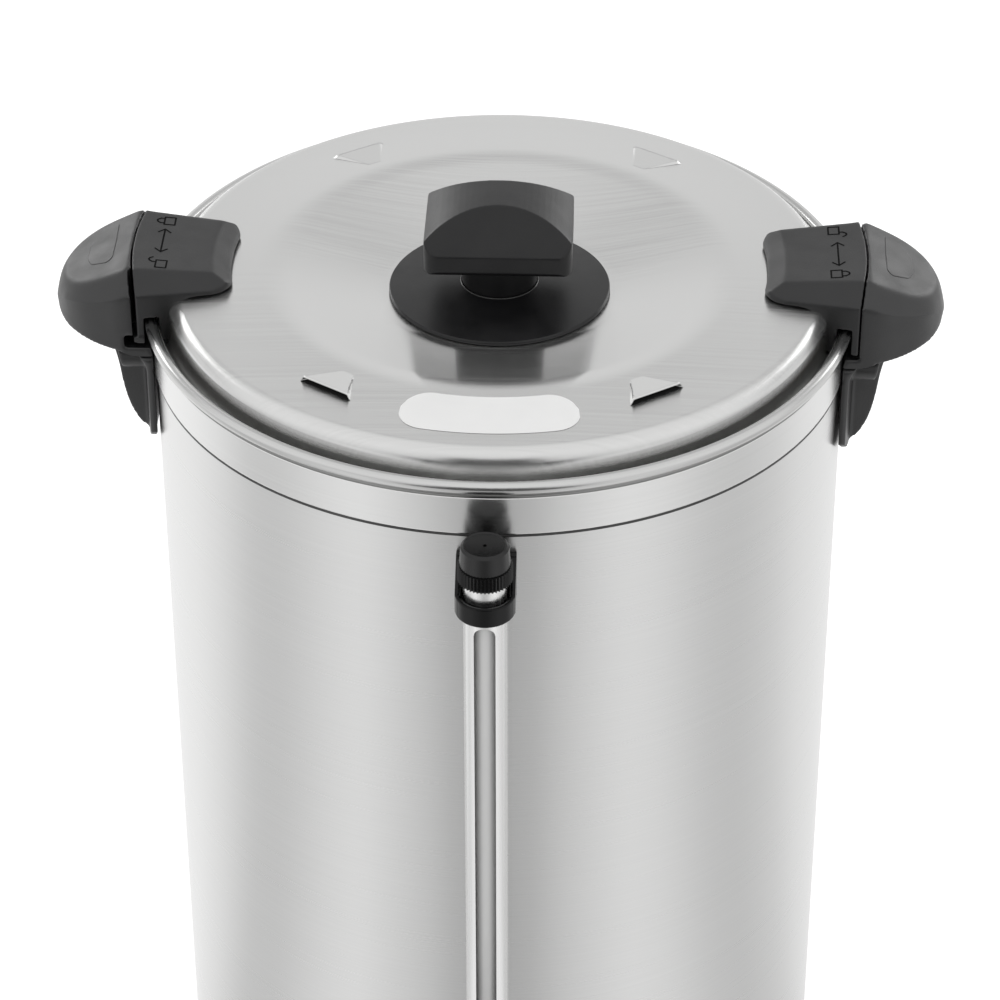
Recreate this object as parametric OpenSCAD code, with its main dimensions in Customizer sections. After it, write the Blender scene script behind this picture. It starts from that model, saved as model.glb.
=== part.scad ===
// Hot water urn: double-walled steel boiler with a locking lid, a sight gauge and a lever tap.
// The axis of the urn is Z, the floor is z = 0, and the tap is at the front, towards -Y.

/* [Body] */
// Height of the rubber feet
foot_h = 10; // [6:1:16]
// Height of the black base housing
base_h = 60; // [52:1:80]
// Height of the outer shell from the base up to the rim band
shell_h = 385; // [330:5:450]
// Outer diameter of the outer shell
shell_d = 299; // [284:1:330]
// Thickness of the steel sheet
sheet_t = 0.8; // [0.6:0.1:1]
// Air gap between the tank wall and the outer shell
wall_gap = 7.9; // [7:0.1:10]
// Height of the tank floor above the base housing
floor_rise = 24; // [20:1:34]

/* [Rim] */
// Height of the rim band
band_h = 20.2; // [17:0.1:24]
// Thickness of the rim band
band_t = 0.9; // [0.6:0.1:1.2]
// Radius of the rolled bead on the tank's edge
bead_r = 2.6; // [2:0.1:3]
// Depth of the lid's seat below the top of the bead
seat_depth = 11.4; // [9:0.1:13]

/* [Lid] */
// Rise of the lid's crease above its seat
lid_rise = 22.3; // [19:0.1:28]
// Diameter of the crease round the dished middle
crease_d = 193; // [170:1:206]
// Depth of the dished middle
dish_depth = 12; // [8:0.5:14]
// Diameter of the flat in the dish
dish_d = 100; // [98:1:120]
// Fall of the outer ring from the crease to the fold
ring_fall = 1.5; // [0.5:0.1:3]
// Radius of the fold at the lid's edge
fold_r = 10; // [6:0.5:12]
// Lean of the lid's side
side_lean = 10; // [4:1:14]
// Width of the flange that lies on the seat
flange_w = 4.4; // [3:0.1:5]
// Length of a vent's slit
vent_len = 28; // [20:1:30]
// Depth of a vent's hood, along the radius
vent_depth = 15; // [10:1:16]
// Rise of a vent's hood above the ring
vent_rise = 3.2; // [2:0.1:4]
// Radius at which the vents open
vent_r = 121; // [115:1:124]
// Angle of a vent from the line of the handles
vent_angle = 56; // [45:1:65]

/* [Knob] */
// Diameter of the knob's base disc
disc_d = 95.2; // [80:0.2:97]
// Thickness of the disc at its edge
disc_edge = 2.1; // [1.6:0.1:3]
// Rise of the disc from its edge to the stem
disc_rise = 2.4; // [1:0.1:4]
// Diameter of the stem
stem_d = 32.5; // [24:0.5:40]
// Finger gap between the disc and the grip
finger_gap = 16; // [14:1:30]
// Width of the grip
grip_w = 63; // [50:1:80]
// Depth of the grip at its foot
grip_d = 50; // [44:1:60]
// Depth of the grip's top at its highest point
grip_top_d = 22; // [14:1:28]
// Height of the grip's upright band
grip_band = 9; // [6:0.5:12]
// Height of the grip at its ends
grip_end_h = 14; // [12:0.5:16]
// Height of the grip in the middle
grip_h = 26.7; // [22:0.1:32]
// Radius of the grip's upright corners
grip_corner = 6; // [3:0.5:9]

/* [Lid lugs] */
// Width of a lug's flat top
lug_top_w = 50; // [40:1:54]
// Width of a lug at its inner end
lug_in_w = 56; // [50:1:62]
// Length of a lug along the radius
lug_len = 42; // [34:1:46]
// Rise of a lug's top above the bead
lug_rise = 20.4; // [17:0.1:26]
// Fall of a lug's top towards its inner end
lug_dip = 3.5; // [2:0.5:5]
// Fall of the slopes at a lug's sides
lug_fall = 8.5; // [4:0.5:9]
// Length of the locking tongue
tongue_len = 9; // [6:0.5:11]
// How far the tongue stands out of the lug
tongue_out = 1.6; // [1.4:0.1:2.4]
// Thickness of the tongue
tongue_t = 2.8; // [2:0.1:3.4]

/* [Handles] */
// Reach of a handle beyond its inner face
handle_reach = 34; // [30:0.5:44]
// Width of a handle and of the lug that meets it
handle_w = 68; // [62:1:76]
// Gap between a lug and its handle
parting_gap = 0.7; // [0.5:0.1:1]
// Wall of the hollow hood
hood_wall = 3.5; // [2.5:0.1:4.5]
// Radius of the hood's nose
nose_r = 7.5; // [6:0.1:9]
// Height of the nose's centre below the top
nose_drop = 20; // [17:0.5:23]
// Thickness of the leg that lies along the body
leg_t = 3; // [2.4:0.1:4]
// Width of the leg
leg_w = 50; // [40:1:56]
// Reach of the leg below the rim band
leg_drop = 44; // [38:1:60]
// Thickness of the rib under the hood
rib_t = 4; // [3:0.5:6]

/* [Gauge] */
// Outer diameter of the guard tube
guard_d = 18; // [16.6:0.1:19]
// Wall of the guard tube
guard_wall = 0.8; // [0.6:0.1:1]
// Distance of the gauge from the shell
gauge_off = 15.5; // [14:0.5:20]
// Width of the slit in the guard tube
slit_w = 8.8; // [6:0.1:10]
// Outer diameter of the glass tube
glass_d = 10; // [8:0.1:11]
// Wall of the glass tube
glass_wall = 1; // [0.8:0.1:1.5]
// Outer diameter of the knurled cap
cap_d = 22.6; // [22:0.1:24]
// Number of teeth on the knurled cap
cap_teeth = 44; // [36:1:48]
// Top of the guard tube below the rim band
guard_drop = 11.6; // [10:0.1:16]
// Height of the ring in the gauge's bracket
bracket_ring_h = 9; // [7:0.5:12]
// Width of the bracket
bracket_w = 24.5; // [24:0.5:30]

/* [Tap] */
// Height of the tap's axis above the tank's floor
tap_rise = 31; // [24:1:50]
// Distance of the valve barrel from the gauge
barrel_off = 42; // [40:0.5:55]
// Outer diameter of the valve barrel
barrel_d = 30; // [27:0.5:34]
// Bore of the spout
spout_bore = 13; // [10:0.5:14]
// Length of the spout below the tap's axis
spout_len = 50; // [42:1:58]
// Diameter of the shank through the walls
shank_d = 20; // [18:0.5:24]
// Length of the lever above its pin
lever_len = 58; // [45:1:75]
// Width of the lever
lever_w = 22; // [18:0.5:26]

/* [Base] */
// Wall of the base housing
base_wall = 3; // [2.5:0.1:4]
// Distance of a foot's middle from the edge of the base
foot_inset = 34.5; // [28:0.5:50]
// Diameter of a foot
foot_d = 28; // [22:1:32]
// Width of the control panel
panel_w = 120; // [112:1:130]
// Height of the control panel
panel_h = 44; // [40:1:46]
// Diameter of the thermostat's knob
dial_d = 36; // [28:1:38]

/* [Hidden] */
$fn = 96;
// Clearances: pieces of one body, running fits, and pieces that move past each other
seat_gap = 0.1;
run_gap = 0.08;
move_gap = 0.4;
hole_gap = 0.15;

// Heights of the body
base_top = foot_h + base_h;
rim_z = base_top + shell_h;
band_top = rim_z + band_h;
bead_z = band_top + seat_gap + bead_r;
bead_top = bead_z + bead_r;
seat_z = bead_top - seat_depth;
floor_z = base_top + floor_rise;

// Radii of the body
shell_r = shell_d/2;
shell_in_r = shell_r - sheet_t;
band_r = shell_r + seat_gap + band_t;
neck_r = shell_in_r - seat_gap;
neck_in_r = neck_r - sheet_t;
bead_c = neck_r + bead_r - sheet_t/2;
bead_out_r = bead_c + bead_r;
tank_r = shell_in_r - wall_gap - sheet_t;
floor_corner = 6;
skirt_h = 6;
neck_flare = 3;

// Lid
flange_z = seat_z + sheet_t;
flange_r = neck_in_r - 0.3;
root_r = flange_r - flange_w;
crease_z = seat_z + lid_rise;
crease_r = crease_d/2;
dish_z = crease_z - dish_depth;
fold_z = crease_z - ring_fall;
fold_cz = fold_z - fold_r;
crease_blend = 6;
foot_blend = 3;
side_end_z = fold_cz + fold_r*sin(side_lean);
fold_c = root_r - (side_end_z - flange_z)*tan(side_lean) - fold_r*cos(side_lean);

// Knob
disc_z = dish_z + seat_gap;
disc_top = disc_z + disc_edge + disc_rise;
grip_z = disc_top + finger_gap;
knob_screw_r = 3;

// Lugs
leg_gap = 0.2;
lug_w = handle_w;
outer_leg_r = bead_out_r + 0.5;
parting_r = outer_leg_r + 3;
lug_in_r = parting_r - lug_len;
lug_top = bead_top + lug_rise;
notch_z = bead_top + 1;
leg_z = seat_z;
lug_end_run = 8;
lug_end_fall = 4.5;
lug_corner = 9;
lug_corner_y = lug_in_w/2 - lug_corner;
lug_corner_x = sqrt(pow(lug_in_r, 2) - pow(lug_corner_y, 2)) + lug_corner;
lug_side_a = let (d = [parting_r - lug_corner_x, lug_w/2 - lug_corner_y])
    atan2(d[1], d[0]) - asin(lug_corner/norm(d));
tongue_z = leg_z + 0.5;
tongue_r = parting_r + tongue_out;
lug_screw_r = 2;
lug_screw_len = 6;
lug_screw_at = [lug_in_r + 8, 18];

// Handles
face_r = parting_r + parting_gap;
shelf_z = leg_z - 2.2;
slot_top = tongue_z + tongue_t + 0.6;
slot_r = tongue_r + 4;
channel_r = tongue_r + move_gap;
channel_t = lug_w/2 - tongue_len - 1.5;
slot_t = -8;
hub_r = band_r + 0.4;
nose = [face_r + handle_reach - nose_r, lug_top - nose_drop];
hem_root = [face_r - 2, shelf_z - 4];
cavity_x = slot_r + 3.5;
leg_out_r = hub_r + leg_t;
rib_x = cavity_x + 2.5;
rib_apart = 12;
root_blend = 12;
boss_r = 6;
boss_t = 14;
boss_z = rim_z + 1;
handle_screw_r = 2.5;
handle_screw_len = 13;

// Gauge
gauge_y = -(shell_r + gauge_off);
guard_r = guard_d/2;
guard_in_r = guard_r - guard_wall;
glass_r = glass_d/2;
guard_top = rim_z - guard_drop;
washer_t = 0.6;
cap_z = guard_top + washer_t;
knurl_h = 7;
cap_top = cap_z + knurl_h + 9.5;
plug_len = 8;
bracket_top = guard_top - 6.5;
bracket_z = bracket_top - bracket_ring_h;
slit_top = bracket_z - 4;
cheek_rise = 9;
cheek_t = 2.5;
bracket_screw_at = [bracket_w/2 - 4, bracket_z + bracket_ring_h/2];

// Tap
tap_z = floor_z + tap_rise;
barrel_y = gauge_y - barrel_off;
shank_r = shank_d/2;
shank_bore = 6;
shank_in = 22;
socket_r = guard_r + 3.6;
socket_top = tap_z + 30;
nose_len = 9;
seal_out = gauge_off - socket_r - seat_gap;
guard_z = tap_z + 14;
glass_z = guard_z - 3;
barrel_r = barrel_d/2;
barrel_bore = barrel_r - 4;
barrel_top = tap_z + 20;
seat_ring_z = tap_z - 8;
cup_h = 7;
stem_r = 3;
bonnet_top = barrel_top + 10;
roof_t = 6;
spring_z = seat_ring_z + cup_h + 2;
spring_top = bonnet_top - roof_t;
spring_r = 5.4;
spring_wire = 1.2;
spring_turns = 7;
cam_throw = 7;
cam_start = 50;
cam_r = 10.5;
pin_r = 1.5;
pin_z = bonnet_top + cam_r - cam_throw*cos(cam_start) + 0.3;
cheek_gap = 0.35;
cheek_top = 10;

// Base
base_r = shell_r - 3;
base_in_r = base_r - base_wall;
plate_t = 1.2;
lip_w = 14;
lip_t = 3;
plate_r = base_in_r - 0.3;
lip_z = foot_h + plate_t;
panel_y = -(shell_r + 1);
panel_t = 3;
panel_corner = 6;
plate_screw_r = 2;
foot_stud_r = 3;
panel_z = foot_h + base_h/2;
panel_front = panel_y - seat_gap;
panel_box_t = 2.5;
dial_x = -34;
switch_x = 34;
lamp_x = 7;
lamp_z = panel_z + 10;
lamp_r = 3.5;
dial_shaft_r = 3;
dial_h = 15;
switch_w = 19;
switch_h = 26;
rocker_w = 13;
rocker_h = 20;
element_r = 70;
element_wire_r = 4.2;
element_plate_t = 4;
element_margin = 16;
element_leg = 10;
terminal_len = 8;
element_z = floor_z - sheet_t - seat_gap;
element_lug_x = 22;
terminal_r = 2;
cut_out_y = 45;
button_r = 3.5;
button_out = 3;
button_in = 8;
button_travel = 2;
inlet_w = 30;
inlet_h = 24;
inlet_wall = 2;
inlet_y = base_r;
inlet_pin_back = 12;
inlet_pin_len = 28;
inlet_z = foot_h + base_h/2;

// Outline helpers
function on_circle(r, a) = r*[cos(a), sin(a)];
function arc(c, r, a0, a1, n) = [for (i = [0:n]) c + on_circle(r, a0 + (a1 - a0)*i/n)];
function unit(v) = v/norm(v);
function right_of(p, q) = let (d = unit(q - p)) [d[1], -d[0]];
function bend(p, q, s) = let (a = right_of(p, q), b = right_of(q, s)) (a + b)/(1 + a*b);
function shift_at(p, i) = i == 0 ? right_of(p[0], p[1])
    : i == len(p) - 1 ? right_of(p[i - 1], p[i])
    : bend(p[i - 1], p[i], p[i + 1]);
function shifted(p, t) = [for (i = [0:len(p) - 1]) p[i] + t*shift_at(p, i)];
function backwards(p) = [for (i = [len(p) - 1:-1:0]) p[i]];
function sheet(p, t) = concat(p, backwards(shifted(p, t)));
function soft_corner(p, q, s, d, n) = let (a = q + d*unit(p - q), b = q + d*unit(s - q))
    [for (i = [0:n]) let (t = i/n) pow(1 - t, 2)*a + 2*t*(1 - t)*q + t*t*b];

// Shape helpers
module ring(r_in, r_out, h) {
    difference() {
        cylinder(r = r_out, h = h);
        translate([0, 0, -1]) cylinder(r = r_in, h = h + 2);
    }
}

module round_rect(w, h, r) {
    square([w - 2*r, h], center = true);
    square([w, h - 2*r], center = true);
    for (x = [-1, 1], y = [-1, 1]) translate([x*(w/2 - r), y*(h/2 - r)]) circle(r = r);
}

// Stand a shape that was drawn along Z so that it points to the front, to the back or to the right
module to_front(y) { translate([0, y, 0]) rotate([90, 0, 0]) children(); }
module to_back(y) { translate([0, y, 0]) rotate([-90, 0, 0]) children(); }
module to_right(x) { translate([x, 0, 0]) rotate([90, 0, 90]) children(); }
module twin() { children(); rotate([0, 0, 180]) children(); }
module upright(y, z) { translate([0, y, z]) children(); }

// Body: the shell, the tank and the band that closes the rim
module shank_hole(r) { translate([0, 0, tap_z]) to_front(0) cylinder(r = r, h = shell_d); }

module handle_screw_holes(r) {
    for (t = [-boss_t, boss_t]) translate([0, t, boss_z]) to_right(0) cylinder(r = r, h = shell_d);
}

module outer_shell() {
    color([0.78, 0.78, 0.77]) difference() {
        translate([0, 0, base_top]) ring(shell_in_r, shell_r, bead_z - bead_r - seat_gap - base_top);
        shank_hole(shank_r + hole_gap);
        twin() handle_screw_holes(handle_screw_r + hole_gap);
        bracket_screw_holes(lug_screw_r + hole_gap);
    }
}

// The tank is a rolled wall with a flared neck and a rolled bead, closed by a pressed floor
skirt_z = floor_z - floor_corner - skirt_h;
wall_line = [[tank_r, skirt_z], [tank_r, seat_z - neck_flare],
    [tank_r + neck_flare, seat_z], [neck_in_r, seat_z], [neck_in_r, bead_z]];

module tank_wall() {
    color([0.8, 0.8, 0.79]) difference() {
        union() {
            rotate_extrude() polygon(sheet(wall_line, sheet_t));
            rotate_extrude() translate([bead_c, bead_z]) circle(r = bead_r);
        }
        shank_hole(shank_r + hole_gap);
    }
}

skirt_r = tank_r - seat_gap;
bottom_line = concat([[0, floor_z]],
    arc([skirt_r - floor_corner, floor_z - floor_corner], floor_corner, 90, 0, 6), [[skirt_r, skirt_z]]);

module tank_bottom() {
    color([0.8, 0.8, 0.79]) rotate_extrude() polygon(sheet(bottom_line, sheet_t));
}

band_groove = [band_h - 3, 0.8, 0.3];

module rim_band() {
    in_r = shell_r + seat_gap;
    g = band_groove;
    color([0.8, 0.8, 0.79]) difference() {
        translate([0, 0, rim_z]) rotate_extrude() polygon([
            [in_r, 0], [band_r - 0.2, 0], [band_r, 0.5], [band_r, g[0]], [band_r - g[2], g[0] + g[1]/2],
            [band_r, g[0] + g[1]], [band_r, band_h], [in_r, band_h]]);
        twin() handle_screw_holes(handle_screw_r + hole_gap);
    }
}

// Handles: a hollow beak-shaped hood, a shelf under the lug, a leg along the body and a rib
hood_top_a = let (d = nose - [face_r, lug_top]) atan2(d[1], d[0]) + asin(nose_r/norm(d));
hood_hem_a = let (d = nose - hem_root) atan2(d[1], d[0]) - asin(nose_r/norm(d));

module hood_plan(inset) {
    translate([face_r, 0]) circle(r = handle_w/2 - inset);
    translate([0, -handle_w/2 + inset]) square([face_r, handle_w - 2*inset]);
}

module hood_front(inset) {
    w = handle_w/2 - inset;
    t = lug_top_w/2 - inset/2;
    top = lug_top - inset;
    low = rim_z - leg_drop;
    polygon([[w, low], [w, top - lug_fall], [t, top], [-t, top], [-w, top - lug_fall], [-w, low]]);
}

module hood_shape(inset) {
    intersection() {
        translate([0, 0, rim_z - leg_drop]) linear_extrude(leg_drop + lug_top) hood_plan(inset);
        to_right(0) linear_extrude(face_r + handle_reach + 1) hood_front(inset);
        translate([0, handle_w, 0]) rotate([90, 0, 0]) linear_extrude(2*handle_w) children();
    }
}

module hood_side() {
    polygon(concat([[hub_r - 3, lug_top], [face_r, lug_top]],
        arc(nose, nose_r, hood_top_a + 90, hood_hem_a - 90, 12),
        [hem_root, [hub_r - 3, hem_root[1]]]));
}

module hood_cavity_side() {
    fall = hood_wall/cos(hood_top_a);
    low = rim_z - leg_drop;
    polygon(concat([[cavity_x, low], [cavity_x, lug_top - fall + (cavity_x - face_r)*tan(hood_top_a)]],
        arc(nose, nose_r - hood_wall, hood_top_a + 90, -90, 10), [[nose[0], low]]));
}

module leg_outline() {
    r = leg_w*0.61;
    intersection() {
        translate([-leg_w/2, rim_z - leg_drop]) square([leg_w, leg_drop + hem_root[1] - rim_z + 1]);
        union() {
            translate([0, rim_z - leg_drop + r]) circle(r = r);
            translate([-leg_w/2, rim_z - leg_drop + r]) square([leg_w, leg_drop]);
        }
    }
}

// The leg from the side, blended into the hood's hem
module leg_section() {
    c = [leg_out_r + root_blend,
        hem_root[1] + (leg_out_r + root_blend - hem_root[0])*tan(hood_hem_a) - root_blend/cos(hood_hem_a)];
    low = rim_z - leg_drop;
    top = hem_root[1] + 2;
    polygon(concat([[hub_r - 1, low], [leg_out_r, low]], arc(c, root_blend, 180, hood_hem_a + 90, 8),
        [[c[0] - root_blend*sin(hood_hem_a), top], [hub_r - 1, top]]));
}

module rib_side() {
    x0 = leg_out_r - 1;
    low = rim_z - leg_drop + 3;
    r = leg_drop - 8;
    c = [rib_x - r, low + r*0.9];
    intersection() {
        union() {
            translate(c) circle(r = r);
            translate([c[0], c[1]]) square([r, hem_root[1] - c[1] + 8]);
        }
        translate([x0, low]) square([rib_x - x0, hem_root[1] - low + 6]);
    }
}

module handle_right_form() {
    difference() {
        union() {
            difference() {
                hood_shape(0) hood_side();
                hood_shape(hood_wall) hood_cavity_side();
                translate([0, 0, shelf_z]) cylinder(r = face_r, h = leg_drop + lug_top);
                intersection() {
                    translate([0, 0, shelf_z]) cylinder(r = slot_r, h = slot_top - shelf_z);
                    translate([0, slot_t, shelf_z]) cube([shell_d, handle_w, handle_w]);
                }
                intersection() {
                    translate([0, 0, shelf_z]) cylinder(r = channel_r, h = leg_drop + lug_top);
                    translate([0, channel_t, shelf_z]) cube([shell_d, handle_w, lug_top]);
                }
            }
            intersection() {
                rotate_extrude() leg_section();
                to_right(0) linear_extrude(shell_d) leg_outline();
            }
            for (t = [-rib_apart, rib_apart]) translate([0, t + rib_t/2, 0]) rotate([90, 0, 0])
                linear_extrude(rib_t) rib_side();
            for (t = [-boss_t, boss_t]) translate([0, t, boss_z]) to_right(shell_r - 3)
                cylinder(r = boss_r, h = handle_screw_len + 6);
        }
        translate([0, 0, rim_z - leg_drop - 1]) cylinder(r = hub_r, h = leg_drop + band_h);
        for (t = [-boss_t, boss_t]) translate([0, t, boss_z]) to_right(0)
            cylinder(r = handle_screw_r + hole_gap, h = shell_r + handle_screw_len);
    }
}

module handle_right() { color([0.2, 0.2, 0.2]) handle_right_form(); }
module handle_left() { color([0.2, 0.2, 0.2]) rotate([0, 0, 180]) handle_right_form(); }

module handle_screws() {
    head_x = sqrt(pow(shell_in_r, 2) - pow(boss_t + 4.5, 2)) - 0.1;
    color([0.6, 0.6, 0.6]) twin() for (t = [-boss_t, boss_t]) translate([0, t, boss_z]) {
        to_right(head_x - 3) cylinder(r = 4.5, h = 3);
        to_right(head_x - 1) cylinder(r = handle_screw_r, h = shell_r + handle_screw_len - head_x);
    }
}

// Lid: one pressed sheet with four vents
dish_foot = [dish_d/2, dish_z];
crease = [crease_r, crease_z];
lid_line = concat([[0, dish_z]],
    soft_corner([0, dish_z], dish_foot, crease, foot_blend, 3),
    soft_corner(dish_foot, crease, [fold_c, fold_z], crease_blend, 4),
    arc([fold_c, fold_cz], fold_r, 90, side_lean, 8),
    [[root_r, flange_z], [flange_r, flange_z]]);
function ring_z(r) = crease_z - ring_fall*(r - crease_r)/(fold_c - crease_r);
ring_slope = atan(ring_fall/(fold_c - crease_r));

// A vent's hood: highest at its slit and falling away along the radius, with sloping sides
module vent_hood(l, d, h, low) {
    intersection() {
        translate([-l, 0, 0]) rotate([90, 0, 90]) linear_extrude(2*l)
            polygon([[0, -low], [d, -low], [d, 0], [0, h]]);
        rotate([90, 0, 0]) translate([0, 0, -2*d]) linear_extrude(3*d)
            polygon([[-l/2, -low], [l/2, -low], [l/2, 0], [0.34*l, h], [-0.34*l, h], [-l/2, 0]]);
        translate([0, 0, -low]) linear_extrude(low + h)
            polygon([[-l/2, 0], [l/2, 0], [0.18*l, d], [-0.18*l, d]]);
    }
}

module at_vents() {
    for (a = [vent_angle, 180 - vent_angle, -vent_angle, vent_angle - 180])
        rotate([0, 0, a + 90]) translate([0, -vent_r, ring_z(vent_r)]) rotate([ring_slope, 0, 0]) children();
}

module lid_pan() {
    color([0.82, 0.82, 0.81]) difference() {
        union() {
            rotate_extrude() polygon(sheet(lid_line, sheet_t));
            at_vents() vent_hood(vent_len, vent_depth, vent_rise, sheet_t/2);
        }
        at_vents() translate([0, -1, 0])
            vent_hood(vent_len - 3, vent_depth - 2, vent_rise - sheet_t, 3*sheet_t);
        twin() lug_screw_places() translate([0, 0, -lug_rise])
            cylinder(r = lug_screw_r + hole_gap, h = 2*lug_rise);
        cylinder(r = knob_screw_r + hole_gap, h = 2*rim_z);
    }
}

// Knob: a round disc, a grip on a stem, and the screw and washer that hold them from inside
module lid_knob_disc() {
    r = disc_d/2;
    color([0.16, 0.16, 0.16]) difference() {
        translate([0, 0, disc_z]) rotate_extrude() polygon([[0, 0], [r - 0.6, 0], [r, 0.5],
            [r - 0.5, disc_edge/2], [r, disc_edge/2 + 0.4], [r - 0.4, disc_edge],
            [stem_d/2 + 1, disc_edge + disc_rise], [0, disc_edge + disc_rise]]);
        cylinder(r = knob_screw_r + hole_gap, h = 2*rim_z);
    }
}

module grip_front() {
    w = grip_w/2;
    rise = grip_h - grip_end_h;
    r = (w*w + rise*rise)/(2*rise);
    a = asin(w/r);
    polygon(concat([[-w, 0], [w, 0]], arc([0, grip_h - r], r, 90 - a, 90 + a, 24)));
}

module grip_end() {
    d = grip_d/2;
    t = grip_top_d/2;
    polygon([[-d + 1, 0], [d - 1, 0], [d, 1.5], [d, grip_band], [t, grip_h],
        [-t, grip_h], [-d, grip_band], [-d, 1.5]]);
}

module lid_knob_grip() {
    color([0.18, 0.18, 0.18]) translate([0, 0, grip_z]) difference() {
        union() {
            intersection() {
                translate([0, grip_d, 0]) rotate([90, 0, 0]) linear_extrude(2*grip_d) grip_front();
                translate([-grip_w, 0, 0]) rotate([90, 0, 90]) linear_extrude(2*grip_w) grip_end();
                linear_extrude(grip_h) round_rect(grip_w, grip_d, grip_corner);
            }
            translate([0, 0, -finger_gap]) cylinder(r = stem_d/2, h = finger_gap + 1);
        }
        translate([0, 0, -finger_gap - 1]) cylinder(r = knob_screw_r + hole_gap, h = finger_gap + 8);
    }
}

module lid_knob_screw() {
    z = dish_z - sheet_t - washer_t - 0.2;
    color([0.6, 0.6, 0.6]) {
        translate([0, 0, z - 4]) cylinder(r = 5.5, h = 4);
        translate([0, 0, z - 1]) cylinder(r = knob_screw_r, h = grip_z + 5 - z);
    }
}

module lid_knob_washer() {
    color([0.7, 0.7, 0.7]) translate([0, 0, dish_z - sheet_t - 0.1 - washer_t])
        ring(knob_screw_r + run_gap, 9, washer_t);
}

// Lugs: plastic blocks that sit on the lid's edge and bridge the rim
lug_under = concat([[lug_in_r, ring_z(lug_in_r) + seat_gap]],
    arc([fold_c, fold_cz], fold_r + seat_gap, 90, side_lean, 8),
    [[root_r - leg_gap*tan(side_lean) + 2*seat_gap, flange_z + leg_gap]]);

module lug_section() {
    inner_leg_r = neck_in_r - 0.4;
    polygon(concat(lug_under, [[inner_leg_r, flange_z + leg_gap], [inner_leg_r, notch_z],
        [outer_leg_r, notch_z], [outer_leg_r, leg_z], [parting_r, leg_z], [parting_r, lug_top],
        [lug_in_r + lug_end_run, lug_top - lug_dip*(1 - lug_end_run/lug_len)],
        [lug_in_r, lug_top - lug_dip - lug_end_fall]]));
}

// One side of a lug with its slope, turned so that the lug narrows inwards
module lug_slope(side) {
    w = side*lug_w/2;
    t = side*lug_top_w/2;
    translate([parting_r, 0, 0]) rotate([0, 0, side*lug_side_a]) translate([-parting_r, 0, 0])
        to_right(0) linear_extrude(shell_d) polygon([[-2*w, leg_z - 1], [w, leg_z - 1],
            [w, lug_top - lug_fall], [t, lug_top], [-2*w, lug_top]]);
}

// The lug seen from above, with its two inner corners rounded off
module lug_plan() {
    side_x = lug_corner_x - lug_corner*sin(lug_side_a);
    translate([side_x, -lug_w/2]) square([lug_len, lug_w]);
    translate([side_x - lug_len, -lug_corner_y]) square([lug_len + 1, 2*lug_corner_y]);
    for (y = [-1, 1]) translate([lug_corner_x, y*lug_corner_y]) circle(r = lug_corner);
}

module lug_screw_places() {
    for (t = [-1, 1]) translate([lug_screw_at[0], t*lug_screw_at[1], ring_z(lug_screw_at[0])]) children();
}

module lug_right_form() {
    difference() {
        union() {
            intersection() {
                rotate_extrude() lug_section();
                lug_slope(1);
                lug_slope(-1);
                translate([0, 0, leg_z - 1]) linear_extrude(lug_top - leg_z + 2) lug_plan();
            }
            intersection() {
                translate([0, 0, tongue_z]) ring(outer_leg_r, tongue_r, tongue_t);
                translate([0, lug_w/2 - tongue_len, tongue_z - 1]) cube([shell_d, tongue_len, tongue_t + 2]);
            }
        }
        lug_screw_places() translate([0, 0, -2]) cylinder(r = lug_screw_r + hole_gap, h = lug_screw_len + 1);
    }
}

module lid_lug_right() { color([0.24, 0.24, 0.24]) lug_right_form(); }
module lid_lug_left() { color([0.24, 0.24, 0.24]) rotate([0, 0, 180]) lug_right_form(); }

module lid_lug_screws() {
    color([0.6, 0.6, 0.6]) twin() lug_screw_places() {
        translate([0, 0, -sheet_t - 0.6 - 2.4]) cylinder(r = 4, h = 2.4);
        translate([0, 0, -sheet_t - 2]) cylinder(r = lug_screw_r, h = lug_screw_len);
    }
}

// Gauge: a glass tube in a slotted metal guard, between the tee at the tap and a bracket at the top
module gauge_tee() {
    front_y = gauge_y - socket_r - nose_len;
    color([0.85, 0.85, 0.84]) difference() {
        union() {
            translate([0, 0, tap_z]) {
                to_front(-tank_r + shank_in) cylinder(r = shank_r, h = -gauge_y - tank_r + shank_in);
                to_front(-shell_r - seal_out - seat_gap) cylinder(r = shank_r + 6, h = 3);
                to_front(gauge_y) cylinder(r = shank_r - 2, h = gauge_y - front_y);
            }
            upright(gauge_y, tap_z - socket_r + 1)
                cylinder(r = socket_r, h = socket_top - tap_z + socket_r - 1);
            upright(gauge_y, socket_top - 5) cylinder(r = socket_r + 1.2, h = 5);
        }
        translate([0, 0, tap_z]) to_front(0) cylinder(r = shank_bore, h = shell_d);
        upright(gauge_y, tap_z) cylinder(r = glass_r - glass_wall, h = socket_top);
        upright(gauge_y, glass_z) cylinder(r = glass_r + hole_gap, h = socket_top);
        upright(gauge_y, guard_z) cylinder(r = guard_r + seat_gap, h = socket_top);
    }
}

module gauge_seals() {
    h = 6;
    color([0.1, 0.1, 0.1]) for (z = [guard_z + 2, bracket_z])
        upright(gauge_y, z) ring(glass_r + 0.05, guard_in_r - 0.05, h);
}

module gauge_tube() {
    color([0.8, 0.9, 0.95, 0.4]) upright(gauge_y, glass_z)
        ring(glass_r - glass_wall, glass_r, bracket_z + 7 - glass_z);
}

module gauge_guard() {
    slit_low = socket_top + 6;
    color([0.88, 0.88, 0.88]) difference() {
        upright(gauge_y, guard_z) ring(guard_in_r, guard_r, guard_top - guard_z);
        translate([-slit_w/2, gauge_y - guard_d, slit_low]) cube([slit_w, guard_d, slit_top - slit_low]);
        translate([0, 0, slit_top]) to_front(gauge_y) cylinder(r = slit_w/2, h = guard_d);
        translate([0, 0, slit_low]) to_front(gauge_y) cylinder(r = slit_w/2, h = guard_d);
    }
}

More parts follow.
